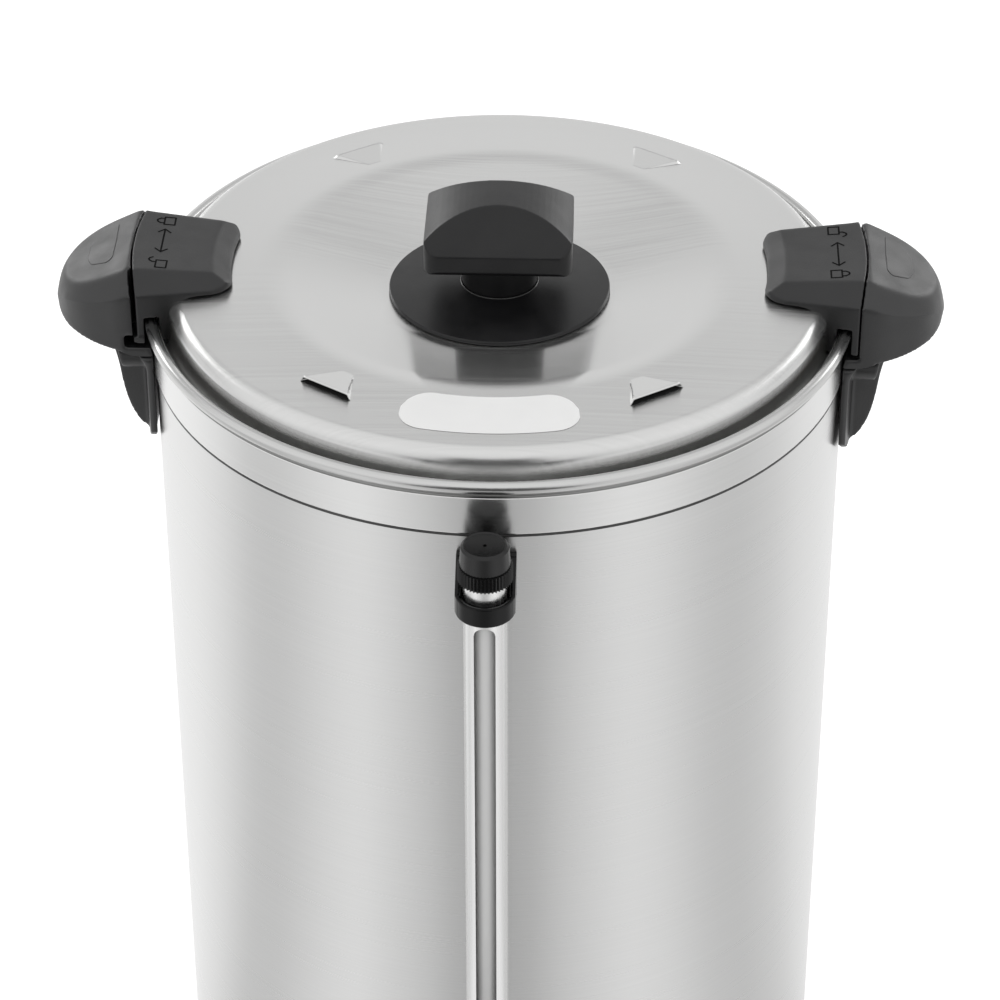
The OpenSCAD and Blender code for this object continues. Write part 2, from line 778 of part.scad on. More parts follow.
module bracket_screw_holes(r) {
    for (x = [-bracket_screw_at[0], bracket_screw_at[0]])
        translate([x, 0, bracket_screw_at[1]]) to_front(0) cylinder(r = r, h = shell_r + 9);
}

module bracket_cheek_side() {
    back = shell_r - 4;
    front = -gauge_y + 2;
    polygon([[back, bracket_z], [front, bracket_z], [front, bracket_top],
        [shell_r + 3, bracket_top + cheek_rise], [back, bracket_top + cheek_rise]]);
}

module gauge_bracket() {
    w = bracket_w/2;
    color([0.1, 0.1, 0.1]) difference() {
        union() {
            translate([0, 0, bracket_z]) linear_extrude(bracket_ring_h) {
                translate([0, gauge_y]) circle(r = w);
                translate([-w, gauge_y]) square([bracket_w, gauge_off + 4]);
            }
            for (x = [-w, w - cheek_t]) translate([x, 0, 0]) rotate([90, 0, 90])
                linear_extrude(cheek_t) mirror([1, 0]) bracket_cheek_side();
            translate([-w, -shell_r - cheek_t, bracket_z - 2])
                cube([bracket_w, cheek_t + 3.5, bracket_ring_h + cheek_rise + 2]);
        }
        translate([0, 0, bracket_z - 5]) cylinder(r = shell_r + seat_gap, h = bracket_ring_h + 30);
        upright(gauge_y, bracket_z - 5) cylinder(r = guard_r + hole_gap, h = bracket_ring_h + 10);
        upright(gauge_y, bracket_top - 1) cylinder(r1 = guard_r + 0.3, r2 = guard_r + 2, h = 1.1);
        bracket_screw_holes(lug_screw_r + hole_gap);
    }
}

module gauge_bracket_screws() {
    head_y = -sqrt(pow(shell_in_r, 2) - pow(bracket_screw_at[0] + 4, 2)) + 0.1;
    color([0.6, 0.6, 0.6]) for (x = [-bracket_screw_at[0], bracket_screw_at[0]])
        translate([x, 0, bracket_screw_at[1]]) {
            to_front(head_y + 2.4) cylinder(r = 4, h = 2.4);
            to_front(head_y + 1) cylinder(r = lug_screw_r, h = shell_r + 8 + head_y);
        }
}

module gauge_cap_washer() {
    color([0.1, 0.1, 0.1]) upright(gauge_y, guard_top) ring(guard_in_r - run_gap, guard_r, washer_t);
}

module gauge_cap() {
    r = cap_d/2;
    h = cap_top - cap_z;
    pitch = 360/cap_teeth;
    color([0.12, 0.12, 0.12]) upright(gauge_y, cap_z) difference() {
        union() {
            linear_extrude(knurl_h) polygon([for (i = [0:cap_teeth - 1], s = [[-0.25, r - 1], [0.25, r]])
                s[1]*[cos((i + s[0])*pitch), sin((i + s[0])*pitch)]]);
            rotate_extrude() polygon([[0, 0], [r - 1.2, 0], [r - 1.2, knurl_h + 0.4], [r - 1, knurl_h + 0.4],
                [r - 1.5, h - 1.2], [r - 2.6, h], [r - 3.2, h - 0.6], [0, h - 0.6]]);
            translate([0, 0, -plug_len]) cylinder(r = guard_in_r - 2*run_gap, h = plug_len + 1);
        }
        cylinder(r = 0.8, h = h + 1);
    }
}

// Seals and nut that clamp the shank through both walls
module saddle(y0, y1, r) {
    translate([0, 0, tap_z]) to_front(-y0) ring(shank_r + hole_gap, r, y1 - y0);
}

module shank_seals() {
    r = shank_r + 7;
    tall = tap_z - r - 5;
    color([0.12, 0.12, 0.12]) {
        difference() {
            saddle(shell_r - 3, shell_r + seal_out, r);
            translate([0, 0, tall]) cylinder(r = shell_r + seat_gap, h = 2*r + 10);
        }
        intersection() {
            difference() {
                saddle(tank_r - 3, shell_r, r);
                translate([0, 0, tall]) cylinder(r = tank_r + sheet_t + seat_gap, h = 2*r + 10);
            }
            translate([0, 0, tall]) cylinder(r = shell_in_r - seat_gap, h = 2*r + 10);
        }
        intersection() {
            saddle(tank_r - 6, tank_r, r);
            translate([0, 0, tall]) cylinder(r = tank_r - seat_gap, h = 2*r + 10);
        }
    }
}

module shank_nut() {
    color([0.75, 0.65, 0.35]) translate([0, 0, tap_z]) to_front(-tank_r + 6 + 9) difference() {
        cylinder(r = shank_r + 7, h = 8.9, $fn = 6);
        translate([0, 0, -1]) cylinder(r = shank_r + hole_gap, h = 12);
    }
}

// Tap: a barrel with a spout, and a spring-closed stem that the lever's cam lifts
module tap_body() {
    back_y = gauge_y - socket_r - 0.8;
    color([0.86, 0.86, 0.86]) difference() {
        union() {
            translate([0, 0, tap_z]) {
                to_front(back_y) cylinder(r = shank_r + 1.5, h = back_y - barrel_y);
                to_front(back_y) cylinder(r = shank_r + 4, h = 6, $fn = 8);
            }
            upright(barrel_y, tap_z) rotate_extrude() polygon(concat(
                [[0, -spout_len], [spout_bore/2 + 3.4, -spout_len], [spout_bore/2 + 3, -spout_len + 8],
                [spout_bore/2 + 3, -26]],
                arc([barrel_r - 6, -14], 6, -60, 0, 5),
                [[barrel_r, 18], [barrel_r - 1, 20], [0, 20]]));
        }
        translate([0, 0, tap_z]) to_front(back_y + 1) cylinder(r = shank_r - 2 + seat_gap, h = 11);
        translate([0, 0, tap_z]) to_front(back_y) cylinder(r = shank_bore, h = back_y - barrel_y);
        upright(barrel_y, tap_z - spout_len - 1) cylinder(r = spout_bore/2, h = spout_len + 20);
        upright(barrel_y, seat_ring_z) cylinder(r = barrel_bore, h = 60);
    }
}

module tap_bonnet() {
    color([0.1, 0.1, 0.1]) upright(barrel_y, 0) difference() {
        rotate_extrude() polygon([[0, barrel_top - 8], [barrel_bore - seat_gap, barrel_top - 8],
            [barrel_bore - seat_gap, barrel_top], [barrel_r + 1, barrel_top], [barrel_r + 1, barrel_top + 5],
            [barrel_r - 1.5, bonnet_top - 1], [barrel_r - 3, bonnet_top], [0, bonnet_top]]);
        translate([0, 0, barrel_top - 9])
            cylinder(r = spring_r + spring_wire/2 + 0.8, h = spring_top - barrel_top + 9);
        translate([0, 0, barrel_top]) cylinder(r = stem_r + run_gap, h = 30);
    }
}

// The spring is one round wire wound as a helix, swept as rings of points
function coil_point(i, n) = let (a = 360*spring_turns*i/n)
    [spring_r*cos(a), spring_r*sin(a), spring_wire/2 + 0.1 + (spring_top - spring_z - spring_wire - 0.2)*i/n];

// The least gap between one turn and the next, measured on the points of the wire's middle
function coil_gap(n) = min([for (i = [0:n - n/spring_turns])
    norm(coil_point(i + n/spring_turns, n) - coil_point(i, n))]) - spring_wire;

module coil(n, sides) {
    pts = [for (i = [0:n], k = [0:sides - 1]) let (p = coil_point(i, n), a = 360*spring_turns*i/n,
        q = 360*k/sides, out = spring_wire/2*cos(q), up = spring_wire/2*sin(q))
        p + [out*cos(a), out*sin(a), up]];
    tube = [for (i = [0:n - 1], k = [0:sides - 1]) let (m = (k + 1)%sides, b = i*sides, t = b + sides)
        each [[b + k, t + k, t + m], [b + k, t + m, b + m]]];
    low_end = [for (k = [1:sides - 2]) [0, k, k + 1]];
    top_end = [for (k = [1:sides - 2]) [n*sides, n*sides + k + 1, n*sides + k]];
    polyhedron(pts, concat(tube, low_end, top_end));
}

module tap_spring() {
    n = spring_turns*12;
    echo(spring_gap = coil_gap(n));
    color([0.7, 0.7, 0.7]) upright(barrel_y, spring_z) coil(n, 6);
}

module tap_stem() {
    z = seat_ring_z + cup_h;
    color([0.75, 0.75, 0.72]) upright(barrel_y, 0) difference() {
        union() {
            translate([0, 0, z]) cylinder(r = spring_r + 1.2, h = spring_z - z);
            translate([0, 0, z - 5]) cylinder(r = stem_r, h = pin_z + 4 - z + 5);
        }
        translate([-10, 0, pin_z]) rotate([0, 90, 0]) cylinder(r = pin_r + run_gap, h = 20);
    }
}

module tap_seat_cup() {
    color([0.85, 0.84, 0.8]) upright(barrel_y, seat_ring_z) difference() {
        rotate_extrude() polygon([[0, 0], [spout_bore/2 + 1.6, 0], [barrel_bore - 1.2, 2],
            [barrel_bore - 1.2, 4], [spout_bore/2, cup_h], [0, cup_h]]);
        translate([0, 0, cup_h - 5.1]) cylinder(r = stem_r + 0.05, h = 6);
    }
}

module lever_side() {
    cam = [cam_throw*sin(cam_start), cam_throw*cos(cam_start)];
    translate(cam) circle(r = cam_r);
    polygon(concat([[cam[0] - cam_r, cam[1]], [cam[0] + cam_r*0.8, cam[1] + cam_r*0.6]],
        [[11, 26], [10, lever_len - 5]], arc([6.5, lever_len - 3.5], 3.5, 0, 180, 8),
        [[1.5, 26], [-4, 12]]));
}

module lever_face() {
    w = lever_w/2;
    polygon(concat([[-w + 2, -20], [w - 2, -20], [w - 2, 18], [w - 3.5, 28]],
        arc([w - 4, lever_len - 4], 4, 0, 90, 6), arc([4 - w, lever_len - 4], 4, 90, 180, 6),
        [[3.5 - w, 28], [2 - w, 18]]));
}

module tap_lever() {
    color([0.1, 0.1, 0.1]) upright(barrel_y, pin_z) difference() {
        intersection() {
            translate([-lever_w, 0, 0]) rotate([90, 0, 90]) linear_extrude(2*lever_w)
                mirror([1, 0]) lever_side();
            translate([0, lever_len, 0]) rotate([90, 0, 0]) linear_extrude(2*lever_len) lever_face();
        }
        translate([-stem_r - cheek_gap, -lever_len, -lever_len])
            cube([2*(stem_r + cheek_gap), 2*lever_len, lever_len + cheek_top]);
        translate([-lever_w, 0, 0]) rotate([0, 90, 0]) cylinder(r = pin_r + 0.05, h = 2*lever_w);
    }
}

module tap_lever_pin() {
    w = lever_w/2 - 2;
    color([0.75, 0.75, 0.75]) translate([-w, barrel_y, pin_z]) rotate([0, 90, 0])
        cylinder(r = pin_r, h = 2*w);
}

// Base: a moulded ring that carries the shell, the controls at its front and the inlet at its back
module panel_box(grow, depth) {
    translate([0, 0, panel_z]) to_front(panel_y + panel_t + depth) linear_extrude(depth)
        round_rect(panel_w + grow, panel_h + grow, panel_corner + grow/2);
}

// The inlet's outline, grown on all sides, as a block that runs to the back
module inlet_block(grow, depth) {
    translate([-inlet_w/2 - grow, 0, -inlet_h/2 - grow]) cube([inlet_w + 2*grow, depth, inlet_h + 2*grow]);
}

module base_housing() {
    depth = base_r - 2 - sqrt(pow(base_r - 2, 2) - pow(panel_w/2 + 4, 2)) + 8;
    inner = base_in_r;
    color([0.08, 0.08, 0.08]) difference() {
        union() {
            rotate_extrude() polygon([[inner - lip_w, lip_z], [inner, lip_z], [inner, foot_h],
                [base_r - 1, foot_h], [base_r, foot_h + 2], [base_r, base_top - 6], [shell_r, base_top - 2],
                [shell_r, base_top], [shell_in_r - seat_gap, base_top], [shell_in_r - seat_gap, base_top + 8],
                [shell_in_r - 3, base_top + 8], [shell_in_r - 3, base_top - 4], [inner, base_top - 8],
                [inner, lip_z + lip_t], [inner - lip_w, lip_z + lip_t]]);
            difference() {
                panel_box(2*panel_box_t, depth);
                translate([0, 0, -1]) cylinder(r = inner + 1, h = base_top);
            }
            intersection() {
                translate([0, inner - 2, inlet_z]) inlet_block(6, base_wall + 3);
                translate([0, 0, -1]) cylinder(r = shell_r, h = base_top);
            }
        }
        panel_box(-4, depth + 10);
        translate([0, 0, panel_z]) to_front(panel_y + panel_t) linear_extrude(2*panel_t)
            round_rect(panel_w + 2*seat_gap, panel_h + 2*seat_gap, panel_corner);
        translate([0, inner - 12, inlet_z]) inlet_block(2*seat_gap, 40);
        translate([0, inlet_y, inlet_z]) inlet_block(8, 40);
        at_plate_screws() translate([0, 0, -1]) cylinder(r = plate_screw_r + hole_gap, h = 30);
    }
}

module at_plate_screws() {
    for (a = [0:60:300]) rotate([0, 0, a]) translate([base_in_r - lip_w/2, 0, foot_h]) children();
}

module at_feet() {
    for (a = [45:90:315]) rotate([0, 0, a]) translate([base_r - foot_inset, 0, 0]) children();
}

module base_plate() {
    color([0.5, 0.5, 0.5]) translate([0, 0, foot_h]) difference() {
        cylinder(r = plate_r, h = plate_t);
        translate([0, cut_out_y, -1]) cylinder(r = button_r + move_gap, h = 5);
        translate([0, 0, -foot_h]) at_feet() cylinder(r = foot_stud_r + hole_gap, h = 30);
        translate([0, 0, -foot_h]) at_plate_screws() translate([0, 0, -1])
            cylinder(r = plate_screw_r + hole_gap, h = 30);
        for (x = [-50:12.5:50]) translate([x, -30, -1]) linear_extrude(4) round_rect(4, 44, 1.9);
    }
}

module base_plate_screws() {
    color([0.6, 0.6, 0.6]) at_plate_screws() {
        translate([0, 0, -2.2]) cylinder(r = plate_screw_r + 1.8, h = 2.2 - 0.05);
        translate([0, 0, -1]) cylinder(r = plate_screw_r, h = 1 + plate_t + lip_t);
    }
}

module feet() {
    color([0.06, 0.06, 0.06]) at_feet() {
        cylinder(r = foot_d/2, h = foot_h);
        translate([0, 0, foot_h - 1]) cylinder(r = foot_stud_r, h = 1 + plate_t + 1.6);
        translate([0, 0, foot_h + plate_t]) cylinder(r1 = foot_stud_r + 2, r2 = foot_stud_r + 0.4, h = 3);
    }
}

module control_panel() {
    color([0.75, 0.75, 0.74]) difference() {
        translate([0, 0, panel_z]) to_front(panel_front + panel_t) linear_extrude(panel_t)
            round_rect(panel_w, panel_h, panel_corner);
        translate([dial_x, 0, panel_z]) to_front(0) cylinder(r = dial_shaft_r + 1, h = shell_d);
        for (x = [-lamp_x, lamp_x]) translate([x, 0, lamp_z]) to_front(0)
            cylinder(r = lamp_r + hole_gap, h = shell_d);
        translate([switch_x, 0, panel_z]) to_front(0) linear_extrude(shell_d)
            square([switch_w + 2*hole_gap, switch_h + 2*hole_gap], center = true);
    }
}

module thermostat() {
    y = panel_y + panel_t;
    color([0.8, 0.78, 0.7]) translate([dial_x, 0, panel_z]) difference() {
        union() {
            translate([-17, y + 0.1, -17]) cube([34, 24, 34]);
            to_back(y + 24) cylinder(r = 3, h = 6);
        }
        to_front(y + 14) cylinder(r = dial_shaft_r + run_gap, h = 30);
    }
}

module thermostat_shaft() {
    color([0.7, 0.7, 0.7]) translate([dial_x, 0, panel_z]) to_front(panel_y + panel_t + 13)
        cylinder(r = dial_shaft_r, h = 13 + panel_t + 9);
}

module thermostat_knob() {
    r = dial_d/2;
    color([0.07, 0.07, 0.07]) translate([dial_x, 0, panel_z]) to_front(panel_y - 0.7) difference() {
        union() {
            rotate_extrude() polygon([[0, 0], [r, 0], [r, 2.5], [r - 1.5, 4], [r - 3, dial_h - 1],
                [r - 4, dial_h], [0, dial_h]]);
            translate([-2.5, 0, 3]) cube([5, r - 2, dial_h - 1.5]);
        }
        for (a = [20:20:340]) rotate([0, 0, a + 90]) translate([r - 0.5, 0, 4.5])
            cylinder(r = 2.2, h = dial_h);
        translate([0, 0, -1]) cylinder(r = dial_shaft_r + 0.05, h = 10.5);
    }
}

module switch_frame() {
    y = panel_front;
    color([0.06, 0.06, 0.06]) translate([switch_x, 0, panel_z]) difference() {
        union() {
            to_front(y) linear_extrude(2) round_rect(switch_w + 4, switch_h + 4, 1.5);
            to_front(y + 22) linear_extrude(22.5) square([switch_w, switch_h], center = true);
        }
        to_front(y + 12) linear_extrude(30) square([rocker_w + 0.8, rocker_h + 1.6], center = true);
        translate([-20, y + 6, 0]) rotate([0, 90, 0]) cylinder(r = 1.5 + run_gap, h = 40);
    }
}

module switch_rocker() {
    y = panel_front;
    h = rocker_h/2;
    color([0.7, 0.08, 0.06]) translate([switch_x, 0, panel_z]) {
        translate([-rocker_w/2, y + 6, 0]) rotate([90, 0, 90]) linear_extrude(rocker_w)
            polygon([[-10.4, h*0.84], [-8, 0], [-8.9, -h*0.84], [1, -h*0.6], [2.2, 0], [1, h*0.6]]);
        translate([-switch_w/2 + 0.5, y + 6, 0]) rotate([0, 90, 0]) cylinder(r = 1.5, h = switch_w - 1);
    }
}

module indicator_lamps() {
    color([0.9, 0.4, 0.1]) for (x = [-lamp_x, lamp_x]) translate([x, 0, lamp_z]) {
        to_front(panel_y + panel_t + 10) cylinder(r = lamp_r, h = panel_t + 11.5);
        to_front(panel_front) rotate_extrude()
            polygon([[0, 0], [lamp_r + 1, 0], [lamp_r + 0.6, 1.2], [lamp_r - 1, 2.4], [0, 3]]);
    }
}

// Heating: a plate on the underside of the tank with a sheathed ring element
module element_plate() {
    color([0.7, 0.7, 0.7]) translate([0, 0, element_z - element_plate_t])
        cylinder(r = element_r + element_margin, h = element_plate_t);
}

element_ring_z = element_z - element_plate_t - element_wire_r - 0.1;

module element_ring() {
    a = asin(element_lug_x/element_r);
    color([0.35, 0.33, 0.3]) translate([0, 0, element_ring_z]) {
        rotate([0, 0, 90 + a]) rotate_extrude(angle = 360 - 2*a)
            translate([element_r, 0]) circle(r = element_wire_r);
        for (x = [-1, 1]) translate([x*element_lug_x, element_r*cos(a), -element_leg])
            cylinder(r = element_wire_r - 0.6, h = element_leg + element_wire_r/2);
    }
}

module element_terminals() {
    a = asin(element_lug_x/element_r);
    color([0.75, 0.7, 0.5]) for (x = [-1, 1])
        translate([x*element_lug_x, element_r*cos(a), element_ring_z - element_leg]) {
            translate([0, 0, -terminal_len]) cylinder(r = terminal_r, h = terminal_len - seat_gap/2);
            translate([0, 0, -terminal_len/2]) cylinder(r = 2*terminal_r, h = terminal_len/3, $fn = 6);
        }
}

module cut_out() {
    z = foot_h + plate_t + 0.05;
    color([0.15, 0.15, 0.15]) translate([0, cut_out_y, 0]) difference() {
        translate([-14, -10, z]) cube([28, 20, 22]);
        translate([0, 0, z - 1])
            cylinder(r = button_r + run_gap, h = 1 + button_in + button_travel + move_gap);
    }
}

module reset_button() {
    color([0.75, 0.1, 0.08]) translate([0, cut_out_y, foot_h - button_out])
        cylinder(r = button_r, h = button_out + plate_t + button_in);
}

// Inlet: a recessed three-pin socket for a loose mains lead
module mains_inlet() {
    w = inlet_w;
    h = inlet_h;
    in_x = w/2 - inlet_wall;
    in_z = h/2 - inlet_wall;
    cut = 5;
    color([0.07, 0.07, 0.07]) translate([0, 0, inlet_z]) difference() {
        union() {
            to_front(inlet_y + 1) linear_extrude(27) square([w, h], center = true);
            to_back(inlet_y + 0.05) linear_extrude(2) round_rect(w + 10, h + 6, 3);
        }
        to_back(inlet_y - 18) linear_extrude(30) polygon([[-in_x, -in_z], [in_x, -in_z], [in_x, in_z - cut],
            [in_x - cut, in_z], [cut - in_x, in_z], [-in_x, in_z - cut]]);
        at_pins() translate([0, 0, -30]) linear_extrude(40) square([2.2, 4.2], center = true);
    }
}

module at_pins() {
    for (p = [[-7, -2], [7, -2], [0, 3]])
        translate([p[0], inlet_y - 20, p[1]]) rotate([-90, 0, 0]) children();
}

module inlet_pins() {
    color([0.8, 0.75, 0.5]) translate([0, 0, inlet_z]) at_pins()
        translate([0, 0, -inlet_pin_back]) linear_extrude(inlet_pin_len) square([2, 4], center = true);
}

outer_shell();
tank_wall();
tank_bottom();
rim_band();
handle_left();
handle_right();
handle_screws();
lid_pan();
lid_knob_disc();
lid_knob_grip();
lid_knob_screw();
lid_knob_washer();
lid_lug_left();
lid_lug_right();
lid_lug_screws();
gauge_tee();
gauge_seals();
gauge_tube();
gauge_guard();
gauge_bracket();
gauge_bracket_screws();
gauge_cap_washer();
gauge_cap();
shank_seals();
shank_nut();
tap_body();
tap_bonnet();
tap_spring();
tap_stem();
tap_seat_cup();
tap_lever();
tap_lever_pin();
base_housing();
base_plate();
base_plate_screws();
feet();
control_panel();
thermostat();
thermostat_shaft();
thermostat_knob();
switch_frame();
switch_rocker();
indicator_lamps();
element_plate();
element_ring();
element_terminals();
cut_out();
reset_button();
mains_inlet();
inlet_pins();
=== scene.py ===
import math

import bpy
import bmesh
import numpy
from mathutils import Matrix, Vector


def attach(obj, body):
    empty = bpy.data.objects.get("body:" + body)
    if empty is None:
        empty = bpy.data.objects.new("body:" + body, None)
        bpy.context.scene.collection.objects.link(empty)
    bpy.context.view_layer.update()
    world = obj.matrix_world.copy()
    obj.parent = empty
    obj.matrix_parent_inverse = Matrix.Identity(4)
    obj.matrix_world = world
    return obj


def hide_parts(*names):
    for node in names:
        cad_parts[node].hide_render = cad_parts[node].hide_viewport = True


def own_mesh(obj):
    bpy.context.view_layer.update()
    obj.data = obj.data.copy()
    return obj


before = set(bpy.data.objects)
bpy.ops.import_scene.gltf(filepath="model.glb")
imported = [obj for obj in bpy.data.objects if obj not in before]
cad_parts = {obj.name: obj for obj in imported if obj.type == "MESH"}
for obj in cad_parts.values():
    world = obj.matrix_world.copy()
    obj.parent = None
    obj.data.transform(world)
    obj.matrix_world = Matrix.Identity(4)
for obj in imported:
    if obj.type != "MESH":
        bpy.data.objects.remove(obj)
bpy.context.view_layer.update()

# Feet
# Four moulded rubber pads, each with a barbed stud that is pushed through the
# base plate. Soft black rubber with a dusty, uneven bloom.


def new_finish(name, colour, roughness, metallic=0.0):
    """A plain material and its shader, for the noise and relief of the piece's own surface."""
    finish = bpy.data.materials.new(name)
    finish.use_nodes = True
    shader = finish.node_tree.nodes["Principled BSDF"]
    shader.inputs["Base Color"].default_value = (*colour, 1.0)
    shader.inputs["Roughness"].default_value = roughness
    shader.inputs["Metallic"].default_value = metallic
    return finish, shader


def add_node(finish, kind, **values):
    """A shader node whose settings or input sockets take the named values."""
    node = finish.node_tree.nodes.new(kind)
    for key, value in values.items():
        if hasattr(node, key):
            setattr(node, key, value)
        else:
            node.inputs[key.replace("_", " ").title()].default_value = value
    return node


def join(finish, source, target):
    """A link from one node's output to another's input."""
    finish.node_tree.links.new(source, target)


def noise_over(finish, stretch, scale=1.0, detail=3.0):
    """Noise over the piece's own metres, stretched along the axes."""
    place = add_node(finish, "ShaderNodeTexCoord")
    mapping = add_node(finish, "ShaderNodeMapping")
    mapping.inputs["Scale"].default_value = stretch
    noise = add_node(finish, "ShaderNodeTexNoise", Scale=scale, Detail=detail)
    join(finish, place.outputs["Object"], mapping.inputs["Vector"])
    join(finish, mapping.outputs["Vector"], noise.inputs["Vector"])
    return noise.outputs["Fac"]


noise_low = 0.3
noise_high = 0.7


def spread(finish, value, low, high):
    """The noise value drawn out to run from low to high."""
    ranged = add_node(finish, "ShaderNodeMapRange")
    ranged.inputs["From Min"].default_value = noise_low
    ranged.inputs["From Max"].default_value = noise_high
    ranged.inputs["To Min"].default_value = low
    ranged.inputs["To Max"].default_value = high
    join(finish, value, ranged.inputs["Value"])
    return ranged.outputs["Result"]


def relief(finish, shader, height, depth):
    """Fine ups and downs of that depth, in metres, where the height value changes."""
    bump = add_node(finish, "ShaderNodeBump")
    bump.inputs["Distance"].default_value = depth
    bump.inputs["Strength"].default_value = 1.0
    join(finish, height, bump.inputs["Height"])
    join(finish, bump.outputs["Normal"], shader.inputs["Normal"])


def tint(finish, shader, value, dark, light):
    """The base colour runs from dark to light with the value."""
    ramp = add_node(finish, "ShaderNodeValToRGB")
    ends = ((noise_low, dark), (noise_high, light))
    for element, (position, colour) in zip(ramp.color_ramp.elements, ends):
        element.position = position
        element.color = (*colour, 1.0)
    join(finish, value, ramp.inputs["Fac"])
    join(finish, ramp.outputs["Color"], shader.inputs["Base Color"])


def moulded(name, dark, light, roughness, grain, depth, specular=0.5):
    """Moulded plastic or rubber: a cloudy colour, uneven gloss and a fine spark-eroded grain."""
    finish, shader = new_finish(name, dark, roughness)
    shader.inputs["Specular IOR Level"].default_value = specular
    cloud = noise_over(finish, (1, 1, 1), scale=40.0, detail=2.0)
    tint(finish, shader, cloud, dark, light)
    wear = noise_over(finish, (1, 1, 1), scale=90.0)
    join(finish, spread(finish, wear, roughness - 0.05, roughness + 0.06), shader.inputs["Roughness"])
    relief(finish, shader, noise_over(finish, (1, 1, 1), scale=grain, detail=2.0), depth)
    return finish


def coat(piece, *finishes):
    """The piece's old finish taken off and these put on."""
    piece.data.materials.clear()
    for finish in finishes:
        piece.data.materials.append(finish)


def dress(finish, *nodes):
    """The finish put on solids that keep their own shape."""
    for node in nodes:
        coat(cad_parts[node], finish)


foot_rubber = moulded("foot_rubber", (0.012, 0.012, 0.012), (0.022, 0.022, 0.021), 0.72, 1500.0, 0.00008)
dress(foot_rubber, "feet")

# Base plate
# A stamped steel disc that closes the base from below, with a row of plain air
# slots, held by six small screws driven up into the housing's lip.

quarter_turn = 0.25


def rolled_steel(name, colour, roughness, stretch, depth, anisotropic=0.0, streak=1.0):
    """Metal with fine lines from rolling, brushing or turning along the axes that are stretched least.

    An anisotropic one is brushed round the urn, and a low streak makes its lines fainter."""
    finish, shader = new_finish(name, colour, roughness, 1.0)
    lines = noise_over(finish, stretch, detail=4.0)
    smooth = roughness - 0.05 * streak
    rough = roughness + 0.07 * streak
    join(finish, spread(finish, lines, smooth, rough), shader.inputs["Roughness"])
    dark = tuple((1.0 - 0.06 * streak) * part for part in colour)
    light = tuple(min(1.0, (1.0 + 0.04 * streak) * part) for part in colour)
    tint(finish, shader, lines, dark, light)
    relief(finish, shader, lines, depth)
    if anisotropic:
        shader.inputs["Anisotropic"].default_value = anisotropic
        shader.inputs["Anisotropic Rotation"].default_value = quarter_turn
        round_axis = add_node(finish, "ShaderNodeTangent", direction_type="RADIAL", axis="Z")
        join(finish, round_axis.outputs["Tangent"], shader.inputs["Tangent"])
    return finish


plate_steel = rolled_steel("plate_steel", (0.56, 0.56, 0.55), 0.38, (700, 12, 12), 0.00002)
screw_steel = rolled_steel("screw_steel", (0.6, 0.59, 0.57), 0.3, (900, 900, 900), 0.00002)
dress(plate_steel, "base_plate")
dress(screw_steel, "base_plate_screws", "handle_screws", "lid_lug_screws", "gauge_bracket_screws")

# Base housing
# One moulding in black heat-proof plastic that carries the shell, the tank
# and the controls. Its skirt has a fine satin grain from the mould.

base_plastic = moulded("base_plastic", (0.007, 0.007, 0.0075), (0.011, 0.011, 0.0115), 0.45, 1800.0, 0.00005)
dress(base_plastic, "base_housing")

# Control panel
# A brushed steel plate on the flat front of the housing, with the thermostat's
# knob, the rocker switch and two lamps.

millimetre = 0.001
panel_face_y = -150.65
panel_middle_z = 40.0
dial_x = -34.0
dial_radius = 18.0
dial_cap_y = -166.25
tick_start = 1.2
tick_end = 3.2
pointer_foot = 4.0
pointer_tip = 14.0
pointer_line = 1.4
switch_x = 34.0
rocker_ridge_y = -152.68
rocker_upper_slope = 0.2857
rocker_lower_slope = 0.1071
on_foot = 2.6
on_tip = 6.4
off_drop = 4.4
off_radius = 1.8
mark_line = 0.7

panel_steel = rolled_steel("panel_steel", (0.6, 0.6, 0.59), 0.32, (6, 6, 1500), 0.00002)
black_plastic = moulded("black_plastic", (0.004, 0.004, 0.0045), (0.007, 0.007, 0.0075),
                        0.36, 1900.0, 0.00004)
dial_plastic = moulded("dial_plastic", (0.006, 0.006, 0.0065), (0.009, 0.009, 0.0095), 0.34, 2200.0, 0.00003)
rocker_plastic = moulded("rocker_plastic", (0.42, 0.016, 0.012), (0.5, 0.02, 0.016), 0.3, 2200.0, 0.00003)
print_black = moulded("print_black", (0.004, 0.004, 0.004), (0.007, 0.007, 0.007), 0.5, 600.0, 0.00001)
print_white = moulded("print_white", (0.72, 0.72, 0.71), (0.78, 0.78, 0.77), 0.45, 600.0, 0.00001)


def lamp_lens(name, colour):
    """A clear coloured lens with a fine prism pattern inside."""
    finish, shader = new_finish(name, colour, 0.18)
    shader.inputs["Transmission Weight"].default_value = 0.35
    relief(finish, shader, noise_over(finish, (1, 1, 1), scale=900.0), 0.0001)
    return finish


def node_copy(node, name):
    """A copy of a solid, whose shape or finish may then be changed."""
    piece = bpy.data.objects.new(name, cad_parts[node].data.copy())
    bpy.context.scene.collection.objects.link(piece)
    return piece


thermostat_body = moulded("thermostat_body", (0.3, 0.28, 0.24), (0.36, 0.34, 0.3), 0.5, 900.0, 0.00005)
dress(panel_steel, "control_panel")
dress(dial_plastic, "thermostat_knob")
dress(rocker_plastic, "switch_rocker")
dress(black_plastic, "switch_frame", "mains_inlet", "cut_out")
dress(thermostat_body, "thermostat")

lamps = node_copy("indicator_lamps", "lamp_lenses")
coat(lamps, lamp_lens("lamp_amber", (0.8, 0.25, 0.02)), lamp_lens("lamp_green", (0.04, 0.45, 0.08)))
for face in lamps.data.polygons:
    face.material_index = 1 if face.center.x > 0.0 else 0
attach(lamps, "urn")
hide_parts("indicator_lamps")


